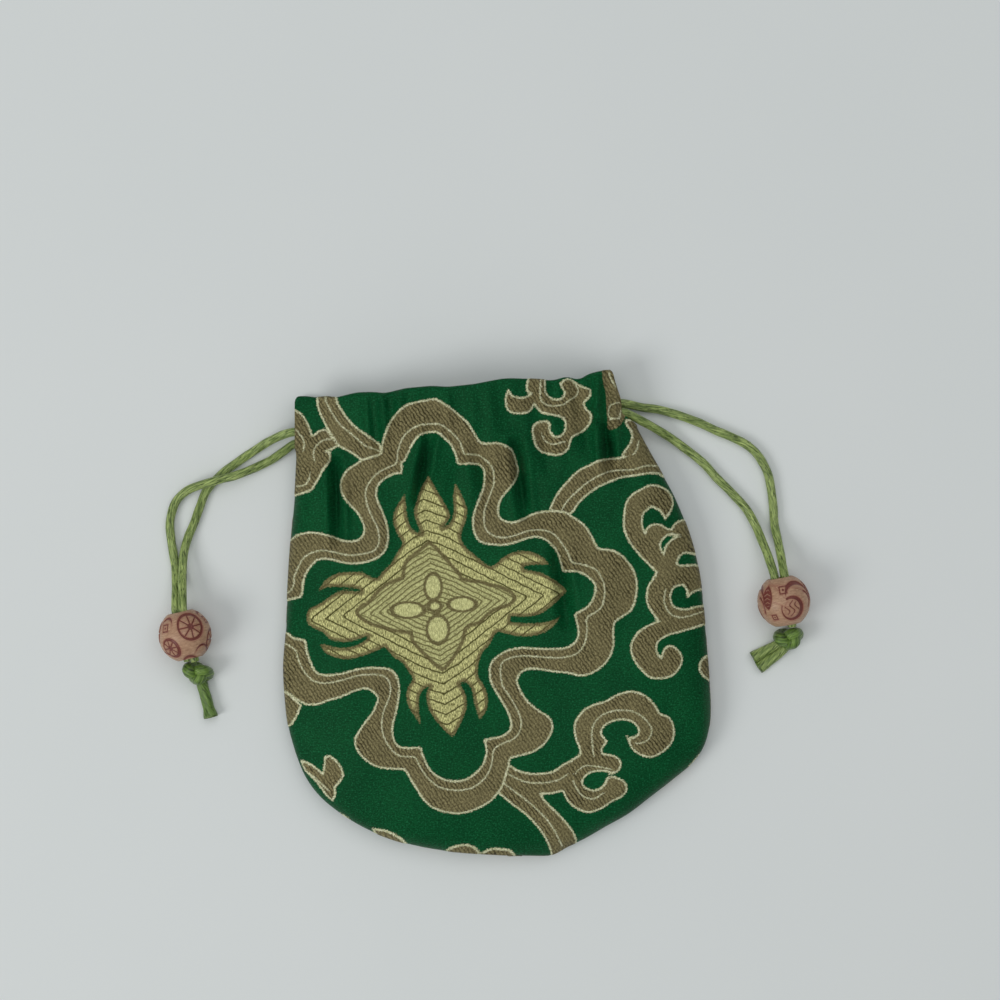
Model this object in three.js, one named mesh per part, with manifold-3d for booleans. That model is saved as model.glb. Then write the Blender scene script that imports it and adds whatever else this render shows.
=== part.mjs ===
// A small satin-brocade drawstring pouch that lies flat, with its two drawcords pulled out to the sides.
// Millimetres, +Z up, the mouth towards +Y and the surface that the pouch lies on at z = 0.
import * as THREE from 'three';
import { mergeVertices } from 'three/addons/utils/BufferGeometryUtils.js';
import Module from 'manifold-3d';

const wasm = await Module();
wasm.setup();

// The pouch
const bodyWidth = 98.2;
const bodyHeight = 111.6;
const bodyDepth = 11.5;
const cloth = 1.1;
const seamHeight = 2.8;
const pieceGap = 0.3;

// The hems
const hemHeight = 13.6;
const hemLayer = 1;
const mouthGap = 6.2;
const slitLength = 4.6;
const tunnelFoot = 1.8;
const tunnelSpan = 6.3;
const tunnelCorner = 0.4;
const tunnelPlay = 0.5;

// The cords, beads and knots
const cordDiameter = 2;
const beadDiameter = 12.1;
const beadLength = 11.3;
const beadBore = 4.9;
const beadEndDiameter = 7;
const knotWidth = 7.4;
const knotLength = 5.6;
const knotHeight = 6.7;
const tailDiameter = 2.6;

// Fineness of the meshes
const frontColumns = 34;
const backColumns = 14;
const hemSteps = 24;
const loopSteps = 54;
const strandStep = 2.6;
const tailSteps = 5;
const cordSides = 8;
const beadSides = 16;
const beadRings = 8;
const knotSides = 12;
const knotRings = 8;

// Rows across the body, from the hem down to the bottom. left and right are the edges as shares of half the
// width, leftUp and rightUp their places as shares of the height. swell is how far a row is in from the bottom
// seam, square how boxy its section is, loft its height as a share of the depth, and mouth how much of its
// height it takes from the hem.
const rows = [
  { left: -0.938, leftUp: 0.820, right: 0.656, rightUp: 0.879, swell: 1.00, square: 9.0, loft: 1.00, mouth: 1.0 },
  { left: -0.942, leftUp: 0.785, right: 0.712, rightUp: 0.834, swell: 1.00, square: 6.0, loft: 1.00, mouth: 0.7 },
  { left: -0.949, leftUp: 0.733, right: 0.773, rightUp: 0.787, swell: 1.00, square: 4.4, loft: 1.00, mouth: 0.3 },
  { left: -0.961, leftUp: 0.675, right: 0.838, rightUp: 0.733, swell: 1.00, square: 3.4, loft: 1.00, mouth: 0.1 },
  { left: -0.973, leftUp: 0.609, right: 0.904, rightUp: 0.659, swell: 1.00, square: 3.0, loft: 1.00, mouth: 0.0 },
  { left: -0.982, leftUp: 0.537, right: 0.948, rightUp: 0.580, swell: 1.00, square: 2.8, loft: 1.00, mouth: 0.0 },
  { left: -0.989, leftUp: 0.459, right: 0.972, rightUp: 0.486, swell: 1.00, square: 2.8, loft: 1.00, mouth: 0.0 },
  { left: -1.000, leftUp: 0.391, right: 0.988, rightUp: 0.395, swell: 1.00, square: 2.8, loft: 1.00, mouth: 0.0 },
  { left: -0.992, leftUp: 0.321, right: 1.000, rightUp: 0.312, swell: 1.00, square: 2.8, loft: 0.99, mouth: 0.0 },
  { left: -0.978, leftUp: 0.269, right: 0.993, rightUp: 0.263, swell: 1.00, square: 2.8, loft: 0.98, mouth: 0.0 },
  { left: -0.956, leftUp: 0.230, right: 0.967, rightUp: 0.224, swell: 1.00, square: 2.8, loft: 0.97, mouth: 0.0 },
  { left: -0.928, leftUp: 0.193, right: 0.918, rightUp: 0.193, swell: 0.98, square: 2.8, loft: 0.96, mouth: 0.0 },
  { left: -0.891, leftUp: 0.158, right: 0.829, rightUp: 0.160, swell: 0.94, square: 2.8, loft: 0.95, mouth: 0.0 },
  { left: -0.830, leftUp: 0.123, right: 0.716, rightUp: 0.121, swell: 0.84, square: 2.8, loft: 0.94, mouth: 0.0 },
  { left: -0.746, leftUp: 0.092, right: 0.618, rightUp: 0.088, swell: 0.68, square: 2.8, loft: 0.93, mouth: 0.0 },
  { left: -0.642, leftUp: 0.063, right: 0.510, rightUp: 0.061, swell: 0.50, square: 2.8, loft: 0.92, mouth: 0.0 },
  { left: -0.521, leftUp: 0.039, right: 0.412, rightUp: 0.036, swell: 0.32, square: 2.8, loft: 0.91, mouth: 0.0 },
  { left: -0.385, leftUp: 0.022, right: 0.332, rightUp: 0.020, swell: 0.18, square: 2.8, loft: 0.90, mouth: 0.0 },
  { left: -0.197, leftUp: 0.009, right: 0.281, rightUp: 0.007, swell: 0.07, square: 2.8, loft: 0.90, mouth: 0.0 },
  { left: 0.107, leftUp: 0.001, right: 0.239, rightUp: 0.000, swell: 0.00, square: 2.8, loft: 0.90, mouth: 0.0 },
];

// Folds that the gathers leave in the front. across and width are shares of half a row, depth is a share of the
// body's depth, and high, peak and low are shares of its height.
const folds = [
  { across: -0.77, width: 0.055, depth: 0.12, high: 0.96, peak: 0.74, low: 0.52 },
  { across: -0.47, width: 0.050, depth: 0.07, high: 1.10, peak: 0.86, low: 0.66 },
  { across: -0.28, width: 0.060, depth: 0.11, high: 1.00, peak: 0.78, low: 0.58 },
  { across: 0.02, width: 0.050, depth: 0.06, high: 1.10, peak: 0.88, low: 0.70 },
  { across: 0.27, width: 0.060, depth: 0.12, high: 1.00, peak: 0.77, low: 0.55 },
  { across: 0.34, width: 0.055, depth: 0.09, high: 0.68, peak: 0.52, low: 0.36 },
  { across: 0.80, width: 0.060, depth: 0.16, high: 1.00, peak: 0.86, low: 0.70 },
];

// The scalloped top edge: how far it drops, as a share of the hem's height, at shares of the way across.
const scallops = [
  { across: 0.00, drop: 0.00 },
  { across: 0.07, drop: 0.04 },
  { across: 0.12, drop: 0.08 },
  { across: 0.21, drop: 0.02 },
  { across: 0.28, drop: 0.06 },
  { across: 0.35, drop: 0.02 },
  { across: 0.53, drop: 0.03 },
  { across: 0.64, drop: -0.01 },
  { across: 0.73, drop: 0.02 },
  { across: 0.80, drop: 0.09 },
  { across: 0.84, drop: 0.03 },
  { across: 0.87, drop: 0.09 },
  { across: 0.91, drop: 0.00 },
  { across: 1.00, drop: 0.00 },
];
const scallopReach = 0.45;
const hemRightEdge = 0.577;
const archShare = 0.42;
const hemFoldShare = 0.3;
const hemFoldSpread = 2.5;

// Where each cord runs in each tunnel, as heights above the hem's lower edge at its left and right end.
const lanes = {
  leftInFront: { atLeft: 5.6, atRight: 6.7 },
  rightInFront: { atLeft: 2.9, atRight: 4.0 },
  leftInBack: { atLeft: 3.1, atRight: 3.4 },
  rightInBack: { atLeft: 5.8, atRight: 6.1 },
};
const loopSetback = 2.7;
const turnBulge = 2;
const turnSetback = 3.3;
const turnAngles = [-60, -25, 25, 60];

// The free strands: routes from the tunnels to the beads, through them and to the knots.
const strands = {
  cord_left_front: [
    [-43.8, 41.6, 7.1], [-46.1, 41.6, 7.0], [-47.9, 41.3, 6.2], [-50.0, 40.6, 5.1], [-52.6, 39.4, 3.5],
    [-56.1, 37.3, 1.7], [-60.0, 34.7, 1.1], [-62.6, 32.8, 1.1], [-64.7, 30.9, 1.1], [-67.1, 28.1, 1.1],
    [-68.6, 24.4, 1.1], [-69.8, 21.0, 1.1], [-71.2, 17.6, 1.3], [-72.1, 14.0, 2.3], [-72.3, 10.4, 3.2],
    [-72.2, 6.8, 4.5], [-72.0, 3.6, 6.0], [-71.8, 0.8, 6.8], [-71.1, -2.0, 6.8], [-70.4, -5.0, 6.8],
    [-69.7, -8.0, 6.8], [-69.0, -10.9, 6.6],
  ],
  cord_left_back: [
    [-43.8, 39.2, 2.25], [-46.7, 38.9, 2.2], [-49.2, 37.2, 2.0], [-52.0, 35.3, 1.6], [-54.8, 33.9, 1.6],
    [-57.5, 32.7, 2.3], [-60.3, 31.6, 3.2], [-63.1, 30.9, 3.5], [-65.9, 30.1, 3.5], [-68.7, 29.3, 3.3],
    [-71.5, 28.1, 2.3], [-74.0, 25.8, 1.3], [-75.1, 23.0, 1.1], [-75.5, 20.2, 1.1], [-75.2, 16.9, 1.1],
    [-74.7, 13.6, 1.1], [-74.2, 10.6, 1.3], [-73.9, 7.0, 2.5], [-73.7, 3.4, 4.5], [-73.6, 0.4, 5.3],
    [-72.8, -2.4, 5.3], [-72.1, -5.4, 5.3], [-71.4, -8.4, 5.3], [-70.8, -10.9, 5.2],
  ],
  cord_right_back: [
    [26.0, 48.4, 2.25], [28.7, 48.3, 2.25], [31.0, 47.9, 2.1], [33.8, 47.3, 1.6], [37.2, 46.9, 1.1],
    [40.5, 46.0, 1.1], [43.9, 44.9, 1.1], [47.4, 43.5, 1.1], [50.6, 42.0, 1.1], [54.0, 40.6, 1.1],
    [57.5, 38.8, 1.1], [59.8, 36.8, 1.1], [61.4, 34.4, 1.1], [62.5, 32.0, 1.1], [63.2, 28.6, 1.1],
    [63.7, 24.6, 1.1], [64.0, 20.2, 1.3], [64.7, 16.4, 2.4], [65.2, 12.6, 4.6], [65.7, 8.9, 6.3],
    [66.2, 6.0, 6.5], [66.7, 3.0, 6.5], [67.2, 0.0, 6.5], [67.5, -2.9, 5.9],
  ],
  cord_right_front: [
    [26.0, 46.2, 7.1], [28.7, 46.1, 7.0], [31.0, 45.2, 6.2], [33.6, 43.9, 5.0], [37.0, 42.1, 3.0],
    [40.5, 40.0, 1.5], [43.9, 37.5, 1.1], [47.4, 34.7, 1.1], [50.6, 31.2, 1.1], [54.0, 27.8, 1.1],
    [57.5, 23.9, 1.2], [59.4, 20.5, 1.6], [60.9, 16.8, 2.7], [62.3, 12.8, 4.4], [63.5, 8.6, 5.5],
    [64.0, 5.6, 5.6], [64.6, 2.6, 5.6], [65.2, -0.4, 5.6], [65.6, -2.7, 5.4],
  ],
};

const beads = [
  { name: 'bead_left', x: -71.4, y: -4.9, turn: 13 },
  { name: 'bead_right', x: 65.6, y: 2.9, turn: 10 },
];

const knots = [
  { name: 'knot_left', x: -68.8, y: -13.7, turn: -16 },
  { name: 'knot_right', x: 67.0, y: -5.7, turn: 8 },
];

const tails = [
  { name: 'tail_left', diameter: tailDiameter, route: [[-67.8, -17.2, 1.5], [-66.9, -20.4, 1.4], [-66.0, -24.2, 1.4]] },
  { name: 'tail_right_a', diameter: cordDiameter, route: [[64.0, -7.5, 1.9], [61.8, -8.8, 1.3], [58.8, -10.4, 1.1]] },
  { name: 'tail_right_b', diameter: cordDiameter, route: [[65.5, -8.9, 1.6], [62.9, -10.9, 1.1], [60.2, -12.8, 1.1]] },
];

// Worked out from the sizes
const lastRow = rows.length - 1;
const headerThickness = 2 * hemLayer + 0.1;
const tunnelHeight = cordDiameter + tunnelPlay;
const hemThickness = 2 * hemLayer + tunnelHeight;
const tunnelTop = tunnelFoot + tunnelSpan;
const tunnelMiddle = hemThickness / 2;

// Materials
const brocade = new THREE.MeshStandardMaterial({ color: 0x1b6b49, roughness: 0.5, metalness: 0 });
const brocadeHem = new THREE.MeshStandardMaterial({ color: 0x6d7a4e, roughness: 0.5, metalness: 0 });
const satinCord = new THREE.MeshStandardMaterial({ color: 0x769a3a, roughness: 0.4, metalness: 0 });
const carvedWood = new THREE.MeshStandardMaterial({ color: 0xa98270, roughness: 0.45, metalness: 0 });

// A smooth value between the rows of a table, at a place that counts rows.
function between(table, column, place) {
  const last = table.length - 1;
  const row = Math.min(Math.floor(place), last - 1);
  const share = place - row;
  const value = (index) => table[Math.min(Math.max(index, 0), last)][column];
  const before = value(row - 1);
  const start = value(row);
  const end = value(row + 1);
  const after = value(row + 2);
  const bend = 2 * before - 5 * start + 4 * end - after;
  const twist = 3 * (start - end) + after - before;
  return start + 0.5 * share * (end - before + share * (bend + share * twist));
}

// A straight value between the rows of a table that lists shares across.
function alongTable(table, column, across) {
  const next = Math.max(table.findIndex((row) => row.across >= across), 1);
  const from = table[next - 1];
  const to = table[next];
  return THREE.MathUtils.mapLinear(across, from.across, to.across, from[column], to[column]);
}

// A place on the left or right edge of the outline.
function edge(side, place) {
  const x = between(rows, side, place) * bodyWidth / 2;
  const y = (between(rows, `${side}Up`, place) - 0.5) * bodyHeight;
  return new THREE.Vector2(x, y);
}

// The same place moved into the body.
function insetEdge(side, place, inset) {
  const reach = 0.05;
  const above = edge(side, Math.max(place - reach, 0));
  const below = edge(side, Math.min(place + reach, lastRow));
  const along = below.sub(above).normalize();
  const inward = side === 'left' ? new THREE.Vector2(-along.y, along.x) : new THREE.Vector2(along.y, -along.x);
  return edge(side, place).addScaledVector(inward, inset);
}

const mouthLeft = edge('left', 0);
const mouthRight = edge('right', 0);
const hemLeft = mouthLeft.x;
const hemRight = hemRightEdge * bodyWidth / 2;

// The hem's lower edge, a gap above the panels.
function hemLowerEdge(x) {
  return THREE.MathUtils.mapLinear(x, mouthLeft.x, mouthRight.x, mouthLeft.y, mouthRight.y) + pieceGap;
}

// Low waves that the folds leave in the hem, from 0 down.
function hemWave(x) {
  const across = THREE.MathUtils.mapLinear(x, mouthLeft.x, mouthRight.x, -1, 1);
  let wave = 0;
  for (const fold of folds) {
    const away = (across - fold.across) / (fold.width * hemFoldSpread);
    wave -= fold.depth * bodyDepth * hemFoldShare * Math.exp(-away * away);
  }
  return wave;
}

// The underside of the front hem: it lies on the back hem at both ends and arches up between them.
function frontHemBase(x) {
  const fromEnd = Math.min(x - hemLeft, hemRight - x);
  const arch = THREE.MathUtils.smoothstep(fromEnd, slitLength, archShare * (hemRight - hemLeft));
  return hemThickness + pieceGap + arch * (mouthGap + hemWave(x));
}

// The height of the front cloth over a place, before its edges turn down.
function crown(x, place) {
  const loft = between(rows, 'loft', place) * bodyDepth;
  const mouth = between(rows, 'mouth', place);
  return THREE.MathUtils.lerp(loft, frontHemBase(x) + hemThickness, mouth);
}

// How far in from the outline a place lies, from 0 at the seam to 1 well inside.
function inwards(across, place) {
  const side = 1 - Math.abs(across) ** between(rows, 'square', place);
  return THREE.MathUtils.clamp(side * between(rows, 'swell', place), 0, 1);
}

// How deep the folds are at a place, from 0 down.
function foldDepth(across, up) {
  let depth = 0;
  for (const fold of folds) {
    const away = (across - fold.across) / fold.width;
    const rise = THREE.MathUtils.smoothstep(up, fold.low, fold.peak);
    const fall = 1 - THREE.MathUtils.smoothstep(up, fold.peak, fold.high);
    depth -= fold.depth * bodyDepth * rise * fall * Math.exp(-away * away);
  }
  return depth;
}

// One surface of a wall, as rows of points. height gives z at a place.
function wallSurface(columns, inset, height) {
  const surface = [];
  for (let place = 0; place <= lastRow; place += 1) {
    const left = insetEdge('left', place, inset);
    const right = insetEdge('right', place, inset);
    const line = [];
    for (let column = 0; column <= columns; column += 1) {
      // Columns stand closer together near the edges, where the cloth turns.
      const across = Math.sin(THREE.MathUtils.mapLinear(column, 0, columns, -0.5, 0.5) * Math.PI * 0.82)
        / Math.sin(0.41 * Math.PI);
      const spot = left.clone().lerp(right, (across + 1) / 2);
      line.push(new THREE.Vector3(spot.x, spot.y, height(across, place, spot)));
    }
    surface.push(line);
  }
  return surface;
}

function frontHeight(thickness) {
  const rim = seamHeight + pieceGap / 2;
  return (across, place, spot) => {
    const inside = inwards(across, place);
    const turn = Math.sqrt(1 - (1 - inside) ** 2);
    const up = spot.y / bodyHeight + 0.5;
    const belowHem = THREE.MathUtils.smoothstep(place, 0, 1);
    const folded = foldDepth(across, up) * belowHem * turn ** 2;
    return rim + (crown(spot.x, place) + folded - thickness - rim) * turn;
  };
}

function backHeight(thickness) {
  const rim = seamHeight - pieceGap / 2;
  const turnShare = 0.3;
  return (across, place) => {
    const level = 1 - Math.min(inwards(across, place) / turnShare, 1);
    return THREE.MathUtils.lerp(thickness, rim, level ** 2);
  };
}

// A closed wall between two surfaces that have the same rows and columns.
function wallGeometry(outer, inner) {
  const height = outer.length;
  const width = outer[0].length;
  const positions = [];
  for (const surface of [outer, inner]) {
    for (const line of surface) {
      for (const point of line) {
        positions.push(point.x, point.y, point.z);
      }
    }
  }
  const index = [];
  const quad = (a, b, c, d) => index.push(a, b, c, a, c, d);
  const innerStart = width * height;
  for (let row = 0; row < height - 1; row += 1) {
    for (let column = 0; column < width - 1; column += 1) {
      const a = row * width + column;
      const b = a + 1;
      const c = b + width;
      const d = a + width;
      quad(a, d, c, b);
      quad(innerStart + a, innerStart + b, innerStart + c, innerStart + d);
    }
  }
  const rim = [];
  for (let column = 0; column < width - 1; column += 1) {
    rim.push(column);
  }
  for (let row = 0; row < height - 1; row += 1) {
    rim.push(row * width + width - 1);
  }
  for (let column = width - 1; column > 0; column -= 1) {
    rim.push((height - 1) * width + column);
  }
  for (let row = height - 1; row > 0; row -= 1) {
    rim.push(row * width);
  }
  rim.forEach((a, i) => {
    const b = rim[(i + 1) % rim.length];
    quad(a, b, innerStart + b, innerStart + a);
  });
  return facingOut(positions, index);
}

// A geometry whose faces all point out, whichever way round its shell was listed.
function facingOut(positions, index) {
  let volume = 0;
  const a = new THREE.Vector3();
  const b = new THREE.Vector3();
  const c = new THREE.Vector3();
  for (let i = 0; i < index.length; i += 3) {
    a.fromArray(positions, index[i] * 3);
    b.fromArray(positions, index[i + 1] * 3);
    c.fromArray(positions, index[i + 2] * 3);
    volume += a.dot(b.cross(c));
  }
  if (volume < 0) {
    index.reverse();
  }
  const geometry = new THREE.BufferGeometry();
  geometry.setAttribute('position', new THREE.Float32BufferAttribute(positions, 3));
  geometry.setIndex(index);
  return geometry;
}

// The hem's section, as heights above its lower edge and depths in from its outer face.
function hemOutline() {
  const round = headerThickness / 2;
  const wallTop = tunnelTop + hemLayer;
  const shoulder = hemThickness - hemLayer - tunnelCorner;
  const bevel = 0.45 * hemLayer;
  return [
    [0, 0],
    [hemHeight - round, 0],
    [hemHeight - 0.3 * round, 0.3 * round],
    [hemHeight, round],
    [hemHeight - 0.3 * round, headerThickness - 0.3 * round],
    [hemHeight - round, headerThickness],
    [wallTop, headerThickness],
    [wallTop, shoulder],
    [tunnelTop + bevel, hemThickness - bevel / 2],
    [tunnelTop - tunnelCorner, hemThickness],
    [tunnelFoot + tunnelCorner, hemThickness],
    [tunnelFoot - bevel, hemThickness - bevel / 2],
    [tunnelFoot - hemLayer, shoulder],
    [0, headerThickness],
  ];
}

function tunnelOutline() {
  const low = hemLayer;
  const high = hemThickness - hemLayer;
  return [
    [tunnelFoot + tunnelCorner, low],
    [tunnelTop - tunnelCorner, low],
    [tunnelTop, low + tunnelCorner],
    [tunnelTop, high - tunnelCorner],
    [tunnelTop - tunnelCorner, high],
    [tunnelFoot + tunnelCorner, high],
    [tunnelFoot, high - tunnelCorner],
    [tunnelFoot, low + tunnelCorner],
  ];
}

// A point of the hem's section at a place along it.
function hemPoint(side, x, up, depth) {
  const share = THREE.MathUtils.clamp((x - hemLeft) / (hemRight - hemLeft), 0, 1);
  const drop = alongTable(scallops, 'drop', share) * hemHeight;
  const scallopStart = hemHeight * (1 - scallopReach);
  const dropShare = THREE.MathUtils.clamp((up - scallopStart) / (hemHeight - scallopStart), 0, 1);
  const y = hemLowerEdge(x) + up - drop * dropShare;
  const z = side === 'front' ? frontHemBase(x) + hemThickness - depth : depth;
  return new THREE.Vector3(x, y, z);
}

// A solid swept along the hem through sections of an outline, with a hole along it if one is given.
function sweptHem(side, stations, outline, hole) {
  const section = [...outline, ...hole];
  const positions = [];
  for (const x of stations) {
    for (const [up, depth] of section) {
      positions.push(...hemPoint(side, x, up, depth).toArray());
    }
  }
  const index = [];
  const wall = (start, count, step, inward) => {
    for (let i = 0; i < count; i += 1) {
      const a = step * section.length + start + i;
      const b = step * section.length + start + (i + 1) % count;
      const c = b + section.length;
      const d = a + section.length;
      index.push(...(inward ? [a, d, c, a, c, b] : [a, b, c, a, c, d]));
    }
  };
  for (let step = 0; step < stations.length - 1; step += 1) {
    wall(0, outline.length, step, false);
    wall(outline.length, hole.length, step, true);
  }
  const toVector = ([up, depth]) => new THREE.Vector2(up, depth);
  const holes = hole.length > 0 ? [hole.map(toVector)] : [];
  const caps = THREE.ShapeUtils.triangulateShape(outline.map(toVector), holes);
  const end = (stations.length - 1) * section.length;
  for (const [a, b, c] of caps) {
    index.push(a, c, b, end + a, end + b, end + c);
  }
  return facingOut(positions, index);
}

function toSolid(geometry) {
  const bare = geometry.clone();
  bare.deleteAttribute('normal');
  bare.deleteAttribute('uv');
  const merged = mergeVertices(bare, 1e-4);
  const vertProperties = new Float32Array(merged.attributes.position.array);
  const triVerts = new Uint32Array(merged.index.array);
  return new wasm.Manifold(new wasm.Mesh({ numProp: 3, vertProperties, triVerts }));
}

function toGeometry(solid) {
  const mesh = solid.getMesh();
  const geometry = new THREE.BufferGeometry();
  geometry.setAttribute('position', new THREE.BufferAttribute(new Float32Array(mesh.vertProperties), 3));
  geometry.setIndex(new THREE.BufferAttribute(new Uint32Array(mesh.triVerts), 1));
  return geometry;
}

// A folded hem, open at both ends. Near each end its inner layer is slit, so that the cords can turn there.
function hemGeometry(side) {
  const stations = [];
  for (let step = 0; step <= hemSteps; step += 1) {
    stations.push(THREE.MathUtils.lerp(hemLeft, hemRight, step / hemSteps));
  }
  const margin = 0.1;
  const past = 1;
  const slitOutline = [
    [tunnelFoot + margin, tunnelMiddle],
    [tunnelTop - margin, tunnelMiddle],
    [tunnelTop - margin, hemThickness + past],
    [tunnelFoot + margin, hemThickness + past],
  ];
  const leftSlit = sweptHem(side, [hemLeft - past, hemLeft + slitLength], slitOutline, []);
  const rightSlit = sweptHem(side, [hemRight - slitLength, hemRight + past], slitOutline, []);
  const hem = toSolid(sweptHem(side, stations, hemOutline(), tunnelOutline()));
  return toGeometry(hem.subtract(toSolid(leftSlit)).subtract(toSolid(rightSlit)));
}

// A round cord along a smooth curve through points.
function cordGeometry(points, diameter, steps) {
  const path = new THREE.CatmullRomCurve3(points, false, 'centripetal');
  const section = new THREE.Shape();
  for (let side = 0; side < cordSides; side += 1) {
    const angle = 2 * Math.PI * side / cordSides;
    const spot = [Math.cos(angle) * diameter / 2, Math.sin(angle) * diameter / 2];
    if (side === 0) {
      section.moveTo(...spot);
    } else {
      section.lineTo(...spot);
    }
  }
  return new THREE.ExtrudeGeometry(section, { steps, extrudePath: path });
}

// The hidden stretch of a drawcord: in through one tunnel, round at the far end, and back through the other.
function loopPoints(cord) {
  const startsLeft = cord === 'left';
  const near = startsLeft ? hemLeft + loopSetback : hemRight - loopSetback;
  const far = startsLeft ? hemRight - turnSetback : hemLeft + turnSetback;
  const way = Math.sign(far - near);
  const inTunnel = (side, x) => {
    const lane = lanes[`${cord}In${side === 'front' ? 'Front' : 'Back'}`];
    const up = THREE.MathUtils.mapLinear(x, hemLeft, hemRight, lane.atLeft, lane.atRight);
    return hemPoint(side, x, up, tunnelMiddle);
  };
  const points = [];
  const run = (side, from, to) => {
    for (let step = 0; step <= hemSteps / 2; step += 1) {
      points.push(inTunnel(side, THREE.MathUtils.lerp(from, to, 2 * step / hemSteps)));
    }
  };
  run('front', near, far);
  const turnStart = inTunnel('front', far);
  const turnEnd = inTunnel('back', far);
  for (const angle of turnAngles) {
    const radians = THREE.MathUtils.degToRad(angle);
    const point = turnStart.clone().lerp(turnEnd, (1 + Math.sin(radians)) / 2);
    point.x += way * turnBulge * Math.cos(radians);
    points.push(point);
  }
  run('back', far, near);
  return points;
}

// A bead with its hole along its own Y axis: an ellipse of revolution, cut flat at both ends.
function beadGeometry() {
  const endShare = beadEndDiameter / beadDiameter;
  const endAngle = Math.acos(endShare);
  const halfEllipse = beadLength / 2 / Math.sin(endAngle);
  const profile = [new THREE.Vector2(beadBore / 2, -beadLength / 2)];
  for (let ring = 0; ring <= beadRings; ring += 1) {
    const angle = THREE.MathUtils.mapLinear(ring, 0, beadRings, -endAngle, endAngle);
    profile.push(new THREE.Vector2(Math.cos(angle) * beadDiameter / 2, Math.sin(angle) * halfEllipse));
  }
  profile.push(new THREE.Vector2(beadBore / 2, beadLength / 2));
  profile.push(profile[0].clone());
  return new THREE.LatheGeometry(profile, beadSides);
}

const pouch = new THREE.Group();
const body = new THREE.Group();
pouch.add(body);

function addPiece(parent, name, geometry, material) {
  const piece = new THREE.Mesh(geometry, material);
  piece.name = name;
  parent.add(piece);
  return piece;
}

// The cloth walls
const frontOuter = wallSurface(frontColumns, 0, frontHeight(0));
const frontInner = wallSurface(frontColumns, cloth, frontHeight(cloth));
addPiece(body, 'front_panel', wallGeometry(frontOuter, frontInner), brocade);
const backOuter = wallSurface(backColumns, 0, backHeight(0));
const backInner = wallSurface(backColumns, cloth, backHeight(cloth));
addPiece(body, 'back_panel', wallGeometry(backOuter, backInner), brocade);

// The hems
addPiece(body, 'hem_front', hemGeometry('front'), brocadeHem);
addPiece(body, 'hem_back', hemGeometry('back'), brocadeHem);

// The cords
for (const cord of ['left', 'right']) {
  addPiece(pouch, `cord_${cord}_loop`, cordGeometry(loopPoints(cord), cordDiameter, loopSteps), satinCord);
}
for (const [name, route] of Object.entries(strands)) {
  const points = route.map((point) => new THREE.Vector3(...point));
  const length = new THREE.CatmullRomCurve3(points, false, 'centripetal').getLength();
  addPiece(pouch, name, cordGeometry(points, cordDiameter, Math.round(length / strandStep)), satinCord);
}

// The beads, knots and tails
for (const bead of beads) {
  const piece = addPiece(pouch, bead.name, beadGeometry(), carvedWood);
  piece.position.set(bead.x, bead.y, beadDiameter / 2);
  piece.rotation.z = THREE.MathUtils.degToRad(bead.turn);
}
for (const knot of knots) {
  const ball = new THREE.SphereGeometry(0.5, knotSides, knotRings);
  ball.rotateX(Math.PI / 2);
  ball.scale(knotWidth, knotLength, knotHeight);
  const piece = addPiece(pouch, knot.name, ball, satinCord);
  piece.position.set(knot.x, knot.y, knotHeight / 2);
  piece.rotation.z = THREE.MathUtils.degToRad(knot.turn);
}
for (const tail of tails) {
  const points = tail.route.map((point) => new THREE.Vector3(...point));
  addPiece(pouch, tail.name, cordGeometry(points, tail.diameter, tailSteps), satinCord);
}

// The origin is under the middle of the cloth body.
const centre = new THREE.Box3().setFromObject(body).getCenter(new THREE.Vector3());
pouch.position.set(-centre.x, -centre.y, 0);

export default pouch;
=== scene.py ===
import math

import bpy
import numpy as np
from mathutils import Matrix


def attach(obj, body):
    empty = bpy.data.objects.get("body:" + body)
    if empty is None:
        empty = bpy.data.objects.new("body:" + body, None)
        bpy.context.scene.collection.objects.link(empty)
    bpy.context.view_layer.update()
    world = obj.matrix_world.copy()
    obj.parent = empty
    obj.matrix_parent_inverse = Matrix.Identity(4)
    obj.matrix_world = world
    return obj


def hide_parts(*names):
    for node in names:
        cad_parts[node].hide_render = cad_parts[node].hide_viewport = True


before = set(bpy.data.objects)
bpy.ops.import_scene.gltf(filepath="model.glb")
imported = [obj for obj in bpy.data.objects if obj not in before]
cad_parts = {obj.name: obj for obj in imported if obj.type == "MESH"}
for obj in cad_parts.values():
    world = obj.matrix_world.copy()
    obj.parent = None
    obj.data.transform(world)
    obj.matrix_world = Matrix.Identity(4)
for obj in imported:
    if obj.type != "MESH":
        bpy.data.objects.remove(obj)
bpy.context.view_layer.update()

MM = 0.001

# The photograph: its scale in the plane of the seam, the pixel over the origin, and its middle
PHOTO_SCALE = 0.23
PHOTO_ORIGIN = (497.1, 613.0)
PHOTO_MIDDLE = (500.0, 500.0)
PHOTO_WIDTH = 1000
PHOTO_PLANE = 3.0
CAMERA_DISTANCE = 600.0
SENSOR_WIDTH = 36.0

# The pouch, as in the part's source
BODY_WIDTH = 98.2
BODY_HEIGHT = 111.6
BODY_DEPTH = 11.5
SEAM_HEIGHT = 2.8
PIECE_GAP = 0.3
HEM_HEIGHT = 13.6
HEM_THICKNESS = 4.5
HEADER_THICKNESS = 2.1
HEM_RIGHT_EDGE = 0.577
TUNNEL_FOOT = 1.8
TUNNEL_TOP = 8.1
TUNNEL_MIDDLE = HEM_THICKNESS / 2
MOUTH_GAP = 6.2
SLIT_LENGTH = 4.6
ARCH_SHARE = 0.42
HEM_FOLD_SHARE = 0.3
HEM_FOLD_SPREAD = 2.5
SCALLOP_REACH = 0.45
CENTRE_SHIFT = -0.04

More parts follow.
